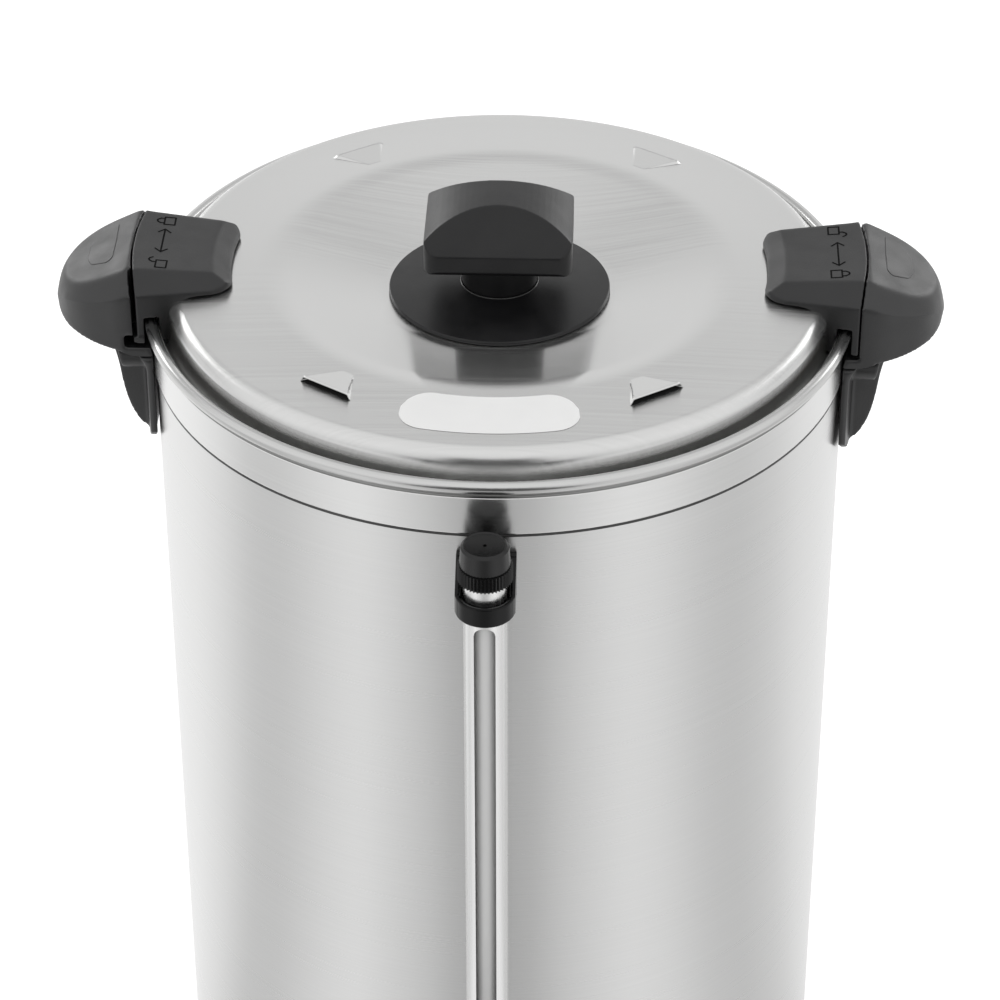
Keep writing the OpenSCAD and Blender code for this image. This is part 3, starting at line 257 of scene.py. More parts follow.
def add_piece(name, points, faces, finish, body):
    """A new mesh piece in millimetres, smooth all over, that rides on a body."""
    mesh = bpy.data.meshes.new(name)
    places = [(millimetre * x, millimetre * y, millimetre * z) for x, y, z in points]
    mesh.from_pydata(places, [], faces)
    mesh.polygons.foreach_set("use_smooth", [True] * len(mesh.polygons))
    mesh.materials.append(finish)
    piece = bpy.data.objects.new(name, mesh)
    bpy.context.scene.collection.objects.link(piece)
    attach(piece, body)
    return piece


def stroke_corners(strokes, width):
    """The four corners of a flat line for each leg of the strokes, a little longer than the leg."""
    corners = []
    overrun = 0.35 * width
    for stroke in strokes:
        for start, end in zip(stroke, stroke[1:]):
            ahead = (Vector(end) - Vector(start)).normalized()
            side = 0.5 * width * Vector((-ahead.y, ahead.x))
            first = Vector(start) - overrun * ahead
            last = Vector(end) + overrun * ahead
            corners += [first - side, last - side, last + side, first + side]
    return corners


def line_faces(points):
    """One face for each four corners of the lines."""
    return [tuple(range(first, first + 4)) for first in range(0, len(points), 4)]


def front_marks(name, strokes, width, face_y, finish, body):
    """Printed lines on a face that looks forward, whose Y may change with the height."""
    points = [(spot.x, face_y(spot.y), spot.y) for spot in stroke_corners(strokes, width)]
    add_piece(name, points, line_faces(points), finish, body)


def on_dial(turn, radius):
    """A spot on the panel at that turn from the top, clockwise as seen from the front."""
    angle = math.radians(turn)
    return dial_x + radius * math.sin(angle), panel_middle_z + radius * math.cos(angle)


def rocker_face(z):
    """The two sloping halves of the rocker's face."""
    rise = z - panel_middle_z
    return rocker_ridge_y - (rocker_upper_slope * rise if rise > 0.0 else -rocker_lower_slope * rise)


dial_ticks = []
for turn in range(0, 301, 30):
    dial_ticks.append([on_dial(turn, dial_radius + tick_start), on_dial(turn, dial_radius + tick_end)])
front_marks("dial_ticks", dial_ticks, mark_line, lambda z: panel_face_y, print_black, "urn")
pointer = [(dial_x, panel_middle_z + pointer_foot), (dial_x, panel_middle_z + pointer_tip)]
front_marks("dial_pointer", [pointer], pointer_line, lambda z: dial_cap_y, print_white, "dial")
on_mark = [(switch_x, panel_middle_z + on_foot), (switch_x, panel_middle_z + on_tip)]
off_mark = []
for step in range(25):
    turn = step * math.pi / 12
    off_z = panel_middle_z - off_drop + off_radius * math.cos(turn)
    off_mark.append((switch_x + off_radius * math.sin(turn), off_z))
front_marks("rocker_marks", [on_mark, off_mark], mark_line, rocker_face, print_white, "rocker")

# Element
# A sheathed heating ring cast into an aluminium plate under the tank's floor,
# with brass terminals, a thermal cut-out and its reset button.

element_aluminium = rolled_steel("element_aluminium", (0.7, 0.7, 0.69), 0.48, (300, 300, 300), 0.00006)
element_sheath = rolled_steel("element_sheath", (0.42, 0.4, 0.37), 0.42, (500, 500, 500), 0.00004)
terminal_brass = rolled_steel("terminal_brass", (0.75, 0.54, 0.24), 0.28, (900, 900, 900), 0.00002)
dress(element_aluminium, "element_plate")
dress(element_sheath, "element_ring")
dress(terminal_brass, "element_terminals", "inlet_pins")
dress(rocker_plastic, "reset_button")

# Tank and shell
# Stainless sheet: a tank with a rolled bead inside a wrapped outer shell that
# is brushed round the body. The rim band is crimped over the shell's top. A black
# ring under the band's foot and a darker steel ring at its top are painted shade.

tank_steel = rolled_steel("tank_steel", (0.8, 0.8, 0.79), 0.34, (5, 5, 900), 0.000005)
shell_steel = rolled_steel("shell_steel", (0.72, 0.72, 0.715), 0.29, (5, 5, 1600), 0.000003,
                           anisotropic=0.6, streak=0.4)
rim_steel = rolled_steel("rim_steel", (0.75, 0.75, 0.745), 0.24, (5, 5, 1600), 0.000003,
                         anisotropic=0.5, streak=0.4)
dress(tank_steel, "tank_wall", "tank_bottom")
dress(shell_steel, "outer_shell")
dress(rim_steel, "rim_band")

bead_centre = (150.8, 477.9)
bead_radius = 2.66
band_foot_z = 455.0
band_radius = 150.5
seam_shade_height = 1.5
seam_shade_depth = 0.45
seam_shade_lap = 0.1
crimp_z = 472.7
crimp_height = 1.9
crimp_raise = 0.08
trim_thickness = 0.4
weld_metres = 1e-7


def grid_faces(rows, columns):
    """Faces of a grid of points that was listed row by row."""
    faces = []
    for row in range(rows - 1):
        for column in range(columns - 1):
            corner = row * columns + column
            faces.append((corner, corner + 1, corner + columns + 1, corner + columns))
    return faces


def arc_points(centre, radius, start, end, count):
    """Points on an arc in an outline, with angles in degrees."""
    points = []
    for step in range(count + 1):
        angle = math.radians(start + (end - start) * step / count)
        points.append((centre[0] + radius * math.cos(angle), centre[1] + radius * math.sin(angle)))
    return points


def lathe(name, outline, finish, body, steps=288):
    """A spun or turned piece: an outline of (radius, height) points swept round the urn's axis."""
    points = []
    for step in range(steps + 1):
        angle = 2 * math.pi * (step % steps) / steps
        points += [(radius * math.cos(angle), radius * math.sin(angle), z) for radius, z in outline]
    piece = add_piece(name, points, grid_faces(steps + 1, len(outline)), finish, body)
    seam = bmesh.new()
    seam.from_mesh(piece.data)
    bmesh.ops.remove_doubles(seam, verts=seam.verts, dist=weld_metres)
    bmesh.ops.recalc_face_normals(seam, faces=seam.faces)
    seam.to_mesh(piece.data)
    seam.free()
    return piece


def flat_ring(name, radius, foot_z, height, finish):
    """A thin ring of square section that lies on the band or under its edge."""
    inner = radius - trim_thickness
    top_z = foot_z + height
    outline = [(inner, foot_z), (radius, foot_z), (radius, top_z), (inner, top_z)]
    lathe(name, outline + outline[:1], finish, "urn")


bead_steel = rolled_steel("bead_steel", (0.6, 0.6, 0.595), 0.22, (6, 6, 900), 0.000006)
# The next two finishes are painted shade, for the rings under the band's foot and at its top.
seam_painted_shade = moulded("seam_painted_shade", (0.02, 0.02, 0.02), (0.035, 0.035, 0.034), 0.5, 600.0, 0.00002)
crimp_painted_shade = rolled_steel("crimp_painted_shade", (0.3, 0.3, 0.295), 0.35, (6, 6, 1600), 0.00001)
bead_line = arc_points(bead_centre, bead_radius, start=0, end=360, count=40)
lathe("rim_bead", bead_line, bead_steel, "urn")
# Painted shade: a black ring in the gap under the band's foot stands for the shadow there.
flat_ring("band_painted_shade", band_radius - seam_shade_depth, band_foot_z - seam_shade_height, seam_shade_height + seam_shade_lap, seam_painted_shade)
# Painted shade: a darker steel ring over the band's crimp groove stands for the shade under the bead.
flat_ring("band_crimp_shade", band_radius + crimp_raise, crimp_z, crimp_height, crimp_painted_shade)

# Tap
# A chromed brass body with a screwed bonnet, a stem with a silicone seat cup,
# a black lever that lifts the stem and a coil spring that shortens as it rises.

tap_chrome = rolled_steel("tap_chrome", (0.72, 0.72, 0.72), 0.12, (60, 60, 60), 0.00002)
stem_steel = rolled_steel("stem_steel", (0.62, 0.62, 0.61), 0.22, (20, 20, 2000), 0.00001)
lever_plastic = moulded("lever_plastic", (0.005, 0.005, 0.0055), (0.008, 0.008, 0.0085),
                        0.33, 2000.0, 0.00004)
seal_rubber = moulded("seal_rubber", (0.012, 0.012, 0.012), (0.02, 0.02, 0.02), 0.62, 1600.0, 0.00005)
silicone = moulded("silicone", (0.55, 0.53, 0.48), (0.62, 0.6, 0.55), 0.45, 1200.0, 0.00003)
dress(tap_chrome, "gauge_tee", "tap_body", "tap_bonnet", "shank_nut", "thermostat_shaft")
dress(stem_steel, "tap_stem", "tap_lever_pin")
dress(lever_plastic, "tap_lever")
dress(seal_rubber, "gauge_seals", "gauge_cap_washer", "shank_seals")
dress(silicone, "tap_seat_cup")

spring_coil = node_copy("tap_spring", "spring_coil")
coat(spring_coil, stem_steel)
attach(spring_coil, "urn")
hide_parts("tap_spring")
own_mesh(spring_coil)

# Sight gauge
# A glass tube with a white enamel back shows the water's height, inside a
# slotted metal guard between the tee at the tap and the bracket at the rim.

metre = 1000.0
gauge_axis_y = -165.0
gauge_foot_z = 150.0
gauge_head_z = 424.0
enamel_radius = 6.2
enamel_half_angle = 80.0
guard_radius = 8.98
slit_half_width = 4.42
slit_arch_z = 420.6
slit_head_z = 429.0
gauge_shares = [step / 12 - 1 for step in range(25)]
ease_share = 0.5


def softened(node, finish, body, cell, passes, hold=None, press=None):
    """A moulding with eased edges: the solid resampled in small cells, pressed into its form and smoothed.

    The hold gives the share of the smoothing at each spot, so that edges where mouldings meet stay crisp."""
    piece = node_copy(node, node + "_moulding")
    cells = piece.modifiers.new("cells", "REMESH")
    cells.mode = "VOXEL"
    cells.voxel_size = millimetre * cell
    eased = bpy.data.meshes.new_from_object(piece.evaluated_get(bpy.context.evaluated_depsgraph_get()))
    piece.modifiers.clear()
    piece.data = eased
    spots = numpy.zeros(3 * len(eased.vertices))
    eased.vertices.foreach_get("co", spots)
    spots = metre * spots.reshape(-1, 3)
    edges = numpy.zeros(2 * len(eased.edges), dtype=int)
    eased.edges.foreach_get("vertices", edges)
    starts, ends = edges.reshape(-1, 2).T
    count = numpy.bincount(edges, minlength=len(spots))[:, None]
    share = numpy.full((len(spots), 1), ease_share)
    if hold:
        share[:, 0] *= hold(spots)
    if press:
        normals = numpy.zeros(3 * len(eased.vertices))
        eased.vertices.foreach_get("normal", normals)
        press(spots, normals.reshape(-1, 3))
    for turn in range(passes):
        total = numpy.zeros_like(spots)
        numpy.add.at(total, starts, spots[ends])
        numpy.add.at(total, ends, spots[starts])
        spots += share * (total / count - spots)
    eased.vertices.foreach_set("co", (millimetre * spots).ravel())
    eased.update()
    eased.polygons.foreach_set("use_smooth", [True] * len(eased.polygons))
    coat(piece, finish)
    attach(piece, body)
    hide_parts(node)


guard_chrome = rolled_steel("guard_chrome", (0.86, 0.86, 0.855), 0.24, (500, 500, 6), 0.00001)
gauge_glass, glass_shader = new_finish("gauge_glass", (0.63, 0.63, 0.625), 0.08)
glass_shader.inputs["Transmission Weight"].default_value = 0.12
glass_shader.inputs["IOR"].default_value = 1.47
relief(gauge_glass, glass_shader, noise_over(gauge_glass, (80, 80, 12)), 0.00002)
enamel = moulded("enamel", (0.6, 0.6, 0.59), (0.66, 0.66, 0.65), 0.4, 700.0, 0.00002)
dress(guard_chrome, "gauge_guard")
dress(gauge_glass, "gauge_tube")

enamel_points = []
for height in (gauge_foot_z, gauge_head_z):
    for share in gauge_shares:
        turn = math.radians(enamel_half_angle * share)
        y = gauge_axis_y + enamel_radius * math.cos(turn)
        enamel_points.append((enamel_radius * math.sin(turn), y, height))
add_piece("gauge_enamel", enamel_points, grid_faces(2, len(gauge_shares)), enamel, "urn")

head_top = []
head_arch = []
for share in gauge_shares:
    x = slit_half_width * share
    y = gauge_axis_y - math.sqrt(guard_radius ** 2 - x ** 2)
    head_top.append((x, y, slit_head_z))
    head_arch.append((x, y, slit_arch_z + math.sqrt(max(0.0, slit_half_width ** 2 - x ** 2))))
head_faces = grid_faces(2, len(gauge_shares))
add_piece("gauge_slit_head", head_top + head_arch, head_faces, guard_chrome, "urn")

gloss_black = moulded("gloss_black", (0.002, 0.002, 0.0022), (0.0035, 0.0035, 0.0037),
                      0.16, 1900.0, 0.00001, specular=0.22)
cap_black = moulded("cap_black", (0.004, 0.004, 0.0042), (0.006, 0.006, 0.0062),
                    0.26, 1900.0, 0.00001, specular=0.42)
softened("gauge_bracket", gloss_black, "urn", cell=0.35, passes=5)
dress(cap_black, "gauge_cap")

# Handles
# Two hollow hoods in dark satin plastic, screwed to the shell from inside,
# each with a leg along the body, two ribs below and a D-shaped pad on its slope.

hood_face_x = 157.6
hood_top_z = 500.9
hood_fall = 0.445
hood_half_width = 34.0
plate_half_width = 25.5
plate_reach = 31.0
bevel_fall = 8.5
bevel_fall_limit = 1.3
bevel_rim = 1.333
bevel_rim_fall = 0.17
side_facing = 0.7
face_lap = 1.5
skin = 2.2
nose_z = 481.0
nose_lap = 1.0
nose_blend = 6.0
nose_sag = 3.6
sag_start_x = 162.0
sag_length = 22.0
hem_z = 463.0
hem_blend = 4.0
leg_half_width = 25.0
leg_outer = 155.0
leg_foot_z = 411.0
rib_hollow = 0.32
rib_curve = 0.8
seam_blend = 4.0
seam_crisp = 0.1
slot_z = 474.0
slot_blend = 8.0
slot_share = 0.12
pad_raise = 0.28
pad_edge = 0.35
pad_bend = 1.6
pad_outline = [(166.0, 19.7), (173.0, 17.0), (177.2, 9.1), (177.4, -3.2), (175.0, -9.6), (167.4, -12.9),
               (165.4, -10.0), (165.2, 3.5)]
pad_profile = [(-0.1, -0.25), (0.0, 0.04), (pad_edge, pad_raise), (pad_edge + 0.12, pad_raise),
               (4.0, pad_raise), (30.0, pad_raise)]

handle_plastic = moulded("handle_plastic", (0.007, 0.007, 0.0075), (0.01, 0.01, 0.0105),
                         0.42, 1900.0, 0.00005, specular=0.72)


def plate_z(x):
    """The height of the handle's sloping top at that distance from the urn's axis."""
    return hood_top_z - hood_fall * (abs(x) - hood_face_x)


def press_hood(spots, normals):
    """The hood pressed to a rounded top plate with a bevel, a deep nose and a leg flush with its front."""
    out = numpy.clip(abs(spots[:, 0]) - hood_face_x, 0.0, None) / plate_reach
    across = abs(spots[:, 1]) / plate_half_width
    size = numpy.sqrt(out ** 3 + across ** 2)
    rim = bevel_rim - bevel_rim_fall * numpy.clip(out, 0.0, 1.0) ** 2
    drop = bevel_fall * numpy.clip((size - 1.0) / (rim - 1.0), 0.0, bevel_fall_limit)
    sideways = normals[:, 0] * numpy.sign(spots[:, 0]) + normals[:, 1] * numpy.sign(spots[:, 1])
    inside = normals[:, 2] + side_facing * sideways < 0.0
    limit = plate_z(spots[:, 0]) - drop - numpy.where(inside, skin, 0.0)
    above = (abs(spots[:, 0]) > hood_face_x - face_lap) & (spots[:, 2] > limit)
    spots[above, 2] = limit[above]

    low = numpy.clip((nose_z + nose_lap - spots[:, 2]) / nose_blend, 0.0, 1.0) * (spots[:, 2] > hem_z)
    sag = numpy.clip((abs(spots[:, 0]) - sag_start_x) / sag_length, 0.0, 1.0)
    spots[:, 2] -= nose_sag * low * sag

    hang = numpy.clip((hem_z + 0.5 * hem_blend - spots[:, 2]) / hem_blend, 0.0, 1.0)
    down = numpy.clip((hem_z - spots[:, 2]) / (hem_z - leg_foot_z), 0.0, 1.0)
    radius = numpy.hypot(spots[:, 0], spots[:, 1])
    wide = 1.0 + hang * (hood_half_width / leg_half_width - 1.0)
    shift = numpy.clip(abs(spots[:, 1]) * wide, None, hood_half_width) * numpy.sign(spots[:, 1])
    rib = numpy.clip(radius - leg_outer, 0.0, None)
    radius -= rib * hang * rib_hollow * numpy.sin(math.pi * down) ** rib_curve
    moved = hang > 0.0
    spots[moved, 1] = shift[moved]
    spots[moved, 0] = (numpy.sign(spots[:, 0]) * numpy.sqrt(radius ** 2 - shift ** 2))[moved]


def hold_below(spots, seam_radius, foot_z, blend, least):
    """The share of smoothing: none at the upright seam, the least below foot_z, all above the blend."""
    away = abs(numpy.hypot(spots[:, 0], spots[:, 1]) - seam_radius)
    seam = numpy.clip(away / seam_blend - seam_crisp, 0.0, 1.0)
    return seam * numpy.clip((spots[:, 2] - foot_z) / blend, least, 1.0)


def hold_hood(spots):
    """Crisp at the seam, at the slot and along the hem, soft on the hood's top."""
    return hold_below(spots, hood_face_x, slot_z, slot_blend, slot_share)


for hand in ("left", "right"):
    softened("handle_" + hand, handle_plastic, "urn", cell=0.7, passes=24,
             hold=hold_hood, press=press_hood)


def eased_corner(before, corner, after, reach, count):
    """A soft bend in an outline, which starts and ends at reach from the corner."""
    first = Vector(corner) + reach * (Vector(before) - Vector(corner)).normalized()
    last = Vector(corner) + reach * (Vector(after) - Vector(corner)).normalized()
    points = []
    for step in range(count + 1):
        t = step / count
        points.append(tuple((1 - t) ** 2 * first + 2 * t * (1 - t) * Vector(corner) + t * t * last))
    return points


def bent_line(corners, reach, count):
    """A closed line along the corners with a short soft bend at each."""
    points = []
    for i, corner in enumerate(corners):
        points += eased_corner(corners[i - 1], corner, corners[(i + 1) % len(corners)], reach, count)
    return points


pad_line = [Vector(spot) for spot in bent_line(pad_outline, pad_bend, count=4)]
pad_middle = sum(pad_line, Vector((0.0, 0.0))) / len(pad_line)
pad_faces = grid_faces(len(pad_profile), len(pad_line) + 1)
for side, hand in ((-1, "left"), (1, "right")):
    pad_points = []
    for inset, rise in pad_profile:
        for spot in pad_line + pad_line[:1]:
            inward = pad_middle - spot
            moved = spot + min(1.0, inset / inward.length) * inward
            pad_points.append((side * moved.x, moved.y, plate_z(moved.x) + rise))
    add_piece(f"handle_pad_{hand}", pad_points, pad_faces, handle_plastic, "urn")

# Lid
# One pressed sheet, brushed across, with a dished middle, a rounded fold at its
# edge, four vents and a flange that lies on the tank's seat.

sheet = 0.8
screw_hole_radius = 3.2
dish_z = 479.4
dish_radii = (screw_hole_radius, 20.0, 40.0)
dish_foot = (50.0, dish_z)
foot_bend = 3.0
crease = (96.5, 491.4)
crease_bend = 7.0
ring_radius = 115.0
fold_centre = (136.2, 482.2)
fold_radius = 7.0
fold_top = (fold_centre[0], fold_centre[1] + fold_radius)
fold_start = 92
fold_end = 10
flange_root = (144.8, 469.9)
flange_bend = 1.6
flange_edge = (147.5, 469.9)
brush_map = "brush"
map_middle = 0.5


def ring_z(radius):
    """The height of the lid's ring, which falls a little from the crease to the fold."""
    return crease[1] + (fold_top[1] - crease[1]) * (radius - crease[0]) / (fold_top[0] - crease[0])


def below(outline, thickness):
    """The outline moved to its right by the sheet's thickness, listed backwards."""
    moved = []
    for i, point in enumerate(outline):
        ahead = Vector(outline[min(i + 1, len(outline) - 1)]) - Vector(outline[max(i - 1, 0)])
        ahead.normalize()
        moved.append((point[0] + thickness * ahead.y, point[1] - thickness * ahead.x))
    return moved[::-1]


def map_flat(piece):
    """A flat map from above, so that the brushing runs along X."""
    layer = piece.data.uv_layers.new(name=brush_map)
    for loop in piece.data.loops:
        place = piece.data.vertices[loop.vertex_index].co
        layer.data[loop.index].uv = (place.x + map_middle, place.y + map_middle)


lid_steel, lid_shader = new_finish("lid_steel", (0.64, 0.64, 0.635), 0.24, 1.0)
lid_lines = noise_over(lid_steel, (9, 1500, 60), detail=4.0)
join(lid_steel, spread(lid_steel, lid_lines, 0.17, 0.23), lid_shader.inputs["Roughness"])
tint(lid_steel, lid_shader, lid_lines, (0.66, 0.66, 0.655), (0.7, 0.7, 0.695))
relief(lid_steel, lid_shader, lid_lines, 0.000003)
lid_shader.inputs["Anisotropic"].default_value = 0.95
lid_shader.inputs["Anisotropic Rotation"].default_value = quarter_turn
brush_way = add_node(lid_steel, "ShaderNodeTangent", direction_type="UV_MAP", uv_map=brush_map)
join(lid_steel, brush_way.outputs["Tangent"], lid_shader.inputs["Tangent"])

lid_outline = [(radius, dish_z) for radius in dish_radii]
lid_outline += eased_corner((0.0, dish_z), dish_foot, crease, foot_bend, count=6)
lid_outline += eased_corner(dish_foot, crease, fold_top, crease_bend, count=12)
lid_outline += [(ring_radius, ring_z(ring_radius))]
lid_outline += arc_points(fold_centre, fold_radius, fold_start, fold_end, count=20)
lid_outline += eased_corner(lid_outline[-1], flange_root, flange_edge, flange_bend, count=6)
lid_outline += [flange_edge]
lid_outline += below(lid_outline, sheet)
lid = lathe("lid_sheet", lid_outline + lid_outline[:1], lid_steel, "lid")
map_flat(lid)
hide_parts("lid_pan")

# Vents
# Four tongues sheared and lifted out of the lid's ring, each open towards the
# edge, with a bright cut lip and below it a black sheet of painted shade for the dark slit.

front_vents = (236.0, 304.0)
rear_vents = (56.0, 124.0)
vent_radius = 121.0
vent_half_width = 13.0
vent_end_half_width = 3.2
vent_side = 0.14
vent_depth = 15.0
vent_rise = 2.9
rear_vent_rise = 1.0
vent_lip = 0.7
vent_rows = 15
vent_columns = 33
tongue_lift = 0.03
shade_lift = 0.02
shade_width = 0.97
shade_reach = 0.2

# Painted shade: a matte black sheet lies on the ring under each tongue, where the real vent opens into the
# dark inside.
slit_painted_shade = moulded("slit_painted_shade", (0.0015, 0.0015, 0.0015), (0.003, 0.003, 0.003), 0.8, 400.0, 0.00002)


def vent_place(angle, across, inward, rise):
    """A point of a vent at that angle from X, on the ring's slope."""
    turn = math.radians(angle)
    radius = vent_radius - inward
    out = Vector((math.cos(turn), math.sin(turn)))
    along = Vector((-out.y, out.x))
    spot = radius * out + across * along
    return spot.x, spot.y, ring_z(radius) + rise


def vent_height(share, depth, top):
    """The height of a tongue, which falls to the ring at its inner end and, in a soft bend, at its sides."""
    side = min(1.0, (1.0 - abs(share)) / vent_side)
    return top * (1.0 - depth) * side * side * (3.0 - 2.0 * side)


vent_faces = grid_faces(vent_rows, vent_columns)
for number, angle in enumerate(rear_vents + front_vents):
    top = rear_vent_rise if angle in rear_vents else vent_rise
    tongue, shade = [], []
    for row in range(vent_rows):
        depth = max(0, row - 1) / (vent_rows - 2)
        inward = depth * vent_depth
        half = vent_half_width + (vent_end_half_width - vent_half_width) * depth
        for column in range(vent_columns):
            share = column / (vent_columns // 2) - 1
            rise = vent_height(share, depth, top)
            if row == 0:
                rise = max(rise - vent_lip, 0.0)
            tongue.append(vent_place(angle, share * half, inward, rise + tongue_lift))
            shade.append(vent_place(angle, shade_width * share * half, inward - shade_reach, shade_lift))
    vent = add_piece(f"lid_vent_{number}", tongue, vent_faces, lid_steel, "lid")
    map_flat(vent)
    add_piece(f"lid_vent_painted_shade_{number}", shade, vent_faces, slit_painted_shade, "lid")

# Label place
# A blank white vinyl label on the ring in front of the knob, cut to a kidney
# shape that follows the ring.

label_inner = 104.6
label_outer = 129.4
label_half_angle = 18.0
label_round = 11.5
label_lift = 0.12
label_rows = 9
label_columns = 65
label_width = label_outer - label_inner
label_middle = 0.5 * (label_inner + label_outer)
label_half_length = math.radians(label_half_angle) * label_middle

label_vinyl = moulded("label_vinyl", (0.78, 0.78, 0.775), (0.82, 0.82, 0.815), 0.35, 500.0, 0.00001)

label_points = []
for row in range(label_rows):
    for column in range(label_columns):
        swing = math.radians(label_half_angle) * (column / (label_columns // 2) - 1)
        into_end = max(0.0, abs(swing) * label_middle - (label_half_length - label_round))
        squeeze = math.sqrt(max(0.0, 1.0 - (into_end / label_round) ** 2))
        radius = label_middle + squeeze * label_width * (row / (label_rows - 1) - 0.5)
        x, y = radius * math.sin(swing), -radius * math.cos(swing)
        label_points.append((x, y, ring_z(radius) + label_lift))
label_faces = grid_faces(label_rows, label_columns)
add_piece("lid_label", label_points, label_faces, label_vinyl, "lid")

# Knob
# A round plastic disc and a wide arched grip on a stem, held by one screw and a
# washer from inside the lid. A glossy bead runs round the stem's foot.

stem_foot_radius = 16.6
stem_foot_z = 484.0
stem_bead_radius = 0.4
stem_bead_rise = 0.05

knob_plastic = moulded("knob_plastic", (0.004, 0.004, 0.0045), (0.007, 0.007, 0.0075),
                       0.34, 1900.0, 0.00004, specular=0.4)
dress(knob_plastic, "lid_knob_disc")
dress(screw_steel, "lid_knob_screw", "lid_knob_washer")
softened("lid_knob_grip", knob_plastic, "lid", cell=0.4, passes=5)
foot_gloss = moulded("foot_gloss", (0.02, 0.02, 0.02), (0.03, 0.03, 0.03), 0.12, 1900.0, 0.00001)
stem_bead_centre = (stem_foot_radius, stem_foot_z + stem_bead_rise)
stem_ring = arc_points(stem_bead_centre, stem_bead_radius, start=-20, end=340, count=12)
lathe("knob_stem_ring", stem_ring, foot_gloss, "lid", steps=128)

# Lugs
# Plastic blocks screwed to the lid's edge, which bridge the rim and lock into
# the handles with a tongue. Padlock signs and an arrow are marked on their tops.

lug_top_z = 500.9
lug_seam_x = 156.9
lug_fall = 3.5 / 42.0
notch_z = 483.0
notch_blend = 6.0
notch_share = 0.1
sign_x = 145.2
sign_line = 0.72
sign_lift = 0.08
closed_lock_y = -17.5
open_lock_y = 18.6
lock_body = [(-4.0, -3.0), (0.6, -3.0), (0.6, 3.0), (-4.0, 3.0), (-4.0, -3.0)]
lock_bow = [(0.6, 1.9), (2.2, 1.9), (3.4, 1.0), (3.8, 0.0), (3.4, -1.0), (2.2, -1.9), (0.6, -1.9)]
bow_swing = 3.4
open_bow = [(along, across - bow_swing) for along, across in lock_bow[:-1]]
arrow_x = sign_x - 0.4
arrow_y = -1.0
arrow_half = 9.5
arrow_barb = 2.6

lug_plastic = moulded("lug_plastic", (0.011, 0.011, 0.0115), (0.015, 0.015, 0.0155), 0.4, 1900.0, 0.00005)
sign_dark = moulded("sign_dark", (0.001, 0.001, 0.001), (0.002, 0.002, 0.002),
                    0.6, 400.0, 0.00002, specular=0.05)


def hold_lug(spots):
    """Crisp at the seam and round the notch for the rim, soft on the lug's top."""
    return hold_below(spots, lug_seam_x, notch_z, notch_blend, notch_share)


for hand in ("left", "right"):
    softened("lid_lug_" + hand, lug_plastic, "lid", cell=0.5, passes=14, hold=hold_lug)


def padlock(y, bow):
    """A padlock that lies on its side, with its shackle pointing outwards."""
    return [[(sign_x + along, y + across) for along, across in line] for line in (lock_body, bow)]


def arrow(x, y, half, barb):
    """An arrow along Y with a head at both ends."""
    strokes = [[(x, y - half), (x, y + half)]]
    for way in (-1, 1):
        root_y = y + way * (half - barb)
        strokes.append([(x - barb, root_y), (x, y + way * half), (x + barb, root_y)])
    return strokes


def lug_top_at(spot):
    """The height of a sign, just over the lug's sloping top."""
    return lug_top_z - lug_fall * (lug_seam_x - spot.length) + sign_lift


signs = padlock(closed_lock_y, lock_bow) + arrow(arrow_x, arrow_y, arrow_half, arrow_barb)
signs += padlock(open_lock_y, open_bow)
sign_spots = stroke_corners(signs, sign_line)
for hand, turned in (("right", 1), ("left", -1)):
    sign_points = [(turned * spot.x, turned * spot.y, lug_top_at(spot)) for spot in sign_spots]
    add_piece("lug_signs_" + hand, sign_points, line_faces(sign_points), sign_dark, "lid")

# Floor
# A plain white sheet that is lit from all sides and keeps a faint shadow. Grey
# cards lie round the urn on it, and they are seen only in the metal.

# Round the floor: the angle from the front as a share of half a turn, and the grey there.
card_levels = [(0.0, 0.53), (0.054, 0.58), (0.109, 0.76), (0.165, 0.86), (0.224, 0.96), (0.285, 0.91),
               (0.38, 0.73), (0.445, 0.69), (0.53, 0.79), (0.615, 0.95), (0.757, 1.02)]
left_levels = {0.224: 0.99, 0.445: 0.73, 0.53: 0.96, 0.615: 1.08, 0.757: 1.1}
floor_half = 5.0


def flat_sheet(name, corners):
    """A flat sheet of the stage, with its corners in metres."""
    mesh = bpy.data.meshes.new(name)
    mesh.from_pydata(corners, [], [tuple(range(len(corners)))])
    sheet_piece = bpy.data.objects.new(name, mesh)
    bpy.context.scene.collection.objects.link(sheet_piece)
    return sheet_piece


def bare_material(name):
    """A material with nothing but its output."""
    material = bpy.data.materials.new(name)
    material.use_nodes = True
    material.node_tree.nodes.clear()
    return material, add_node(material, "ShaderNodeOutputMaterial")


def set_stops(ramp, stops):
    """Grey levels at the positions along a ramp."""
    while len(ramp.color_ramp.elements) < len(stops):
        ramp.color_ramp.elements.new(0.5)
    for element, (position, level) in zip(ramp.color_ramp.elements, stops):
        element.position = position
        element.color = (level, level, level, 1.0)


floor_corners = [(floor_half * x, floor_half * y, 0.0) for x, y in ((-1, -1), (1, -1), (1, 1), (-1, 1))]
floor = flat_sheet("floor", floor_corners)
floor_white, floor_out = bare_material("floor_white")
floor_glow = add_node(floor_white, "ShaderNodeEmission", Strength=0.82)
floor_paper = add_node(floor_white, "ShaderNodeBsdfDiffuse")
floor_paper.inputs["Color"].default_value = (0.42, 0.42, 0.42, 1.0)
floor_sum = add_node(floor_white, "ShaderNodeAddShader")
join(floor_white, floor_glow.outputs["Emission"], floor_sum.inputs[0])
join(floor_white, floor_paper.outputs["BSDF"], floor_sum.inputs[1])

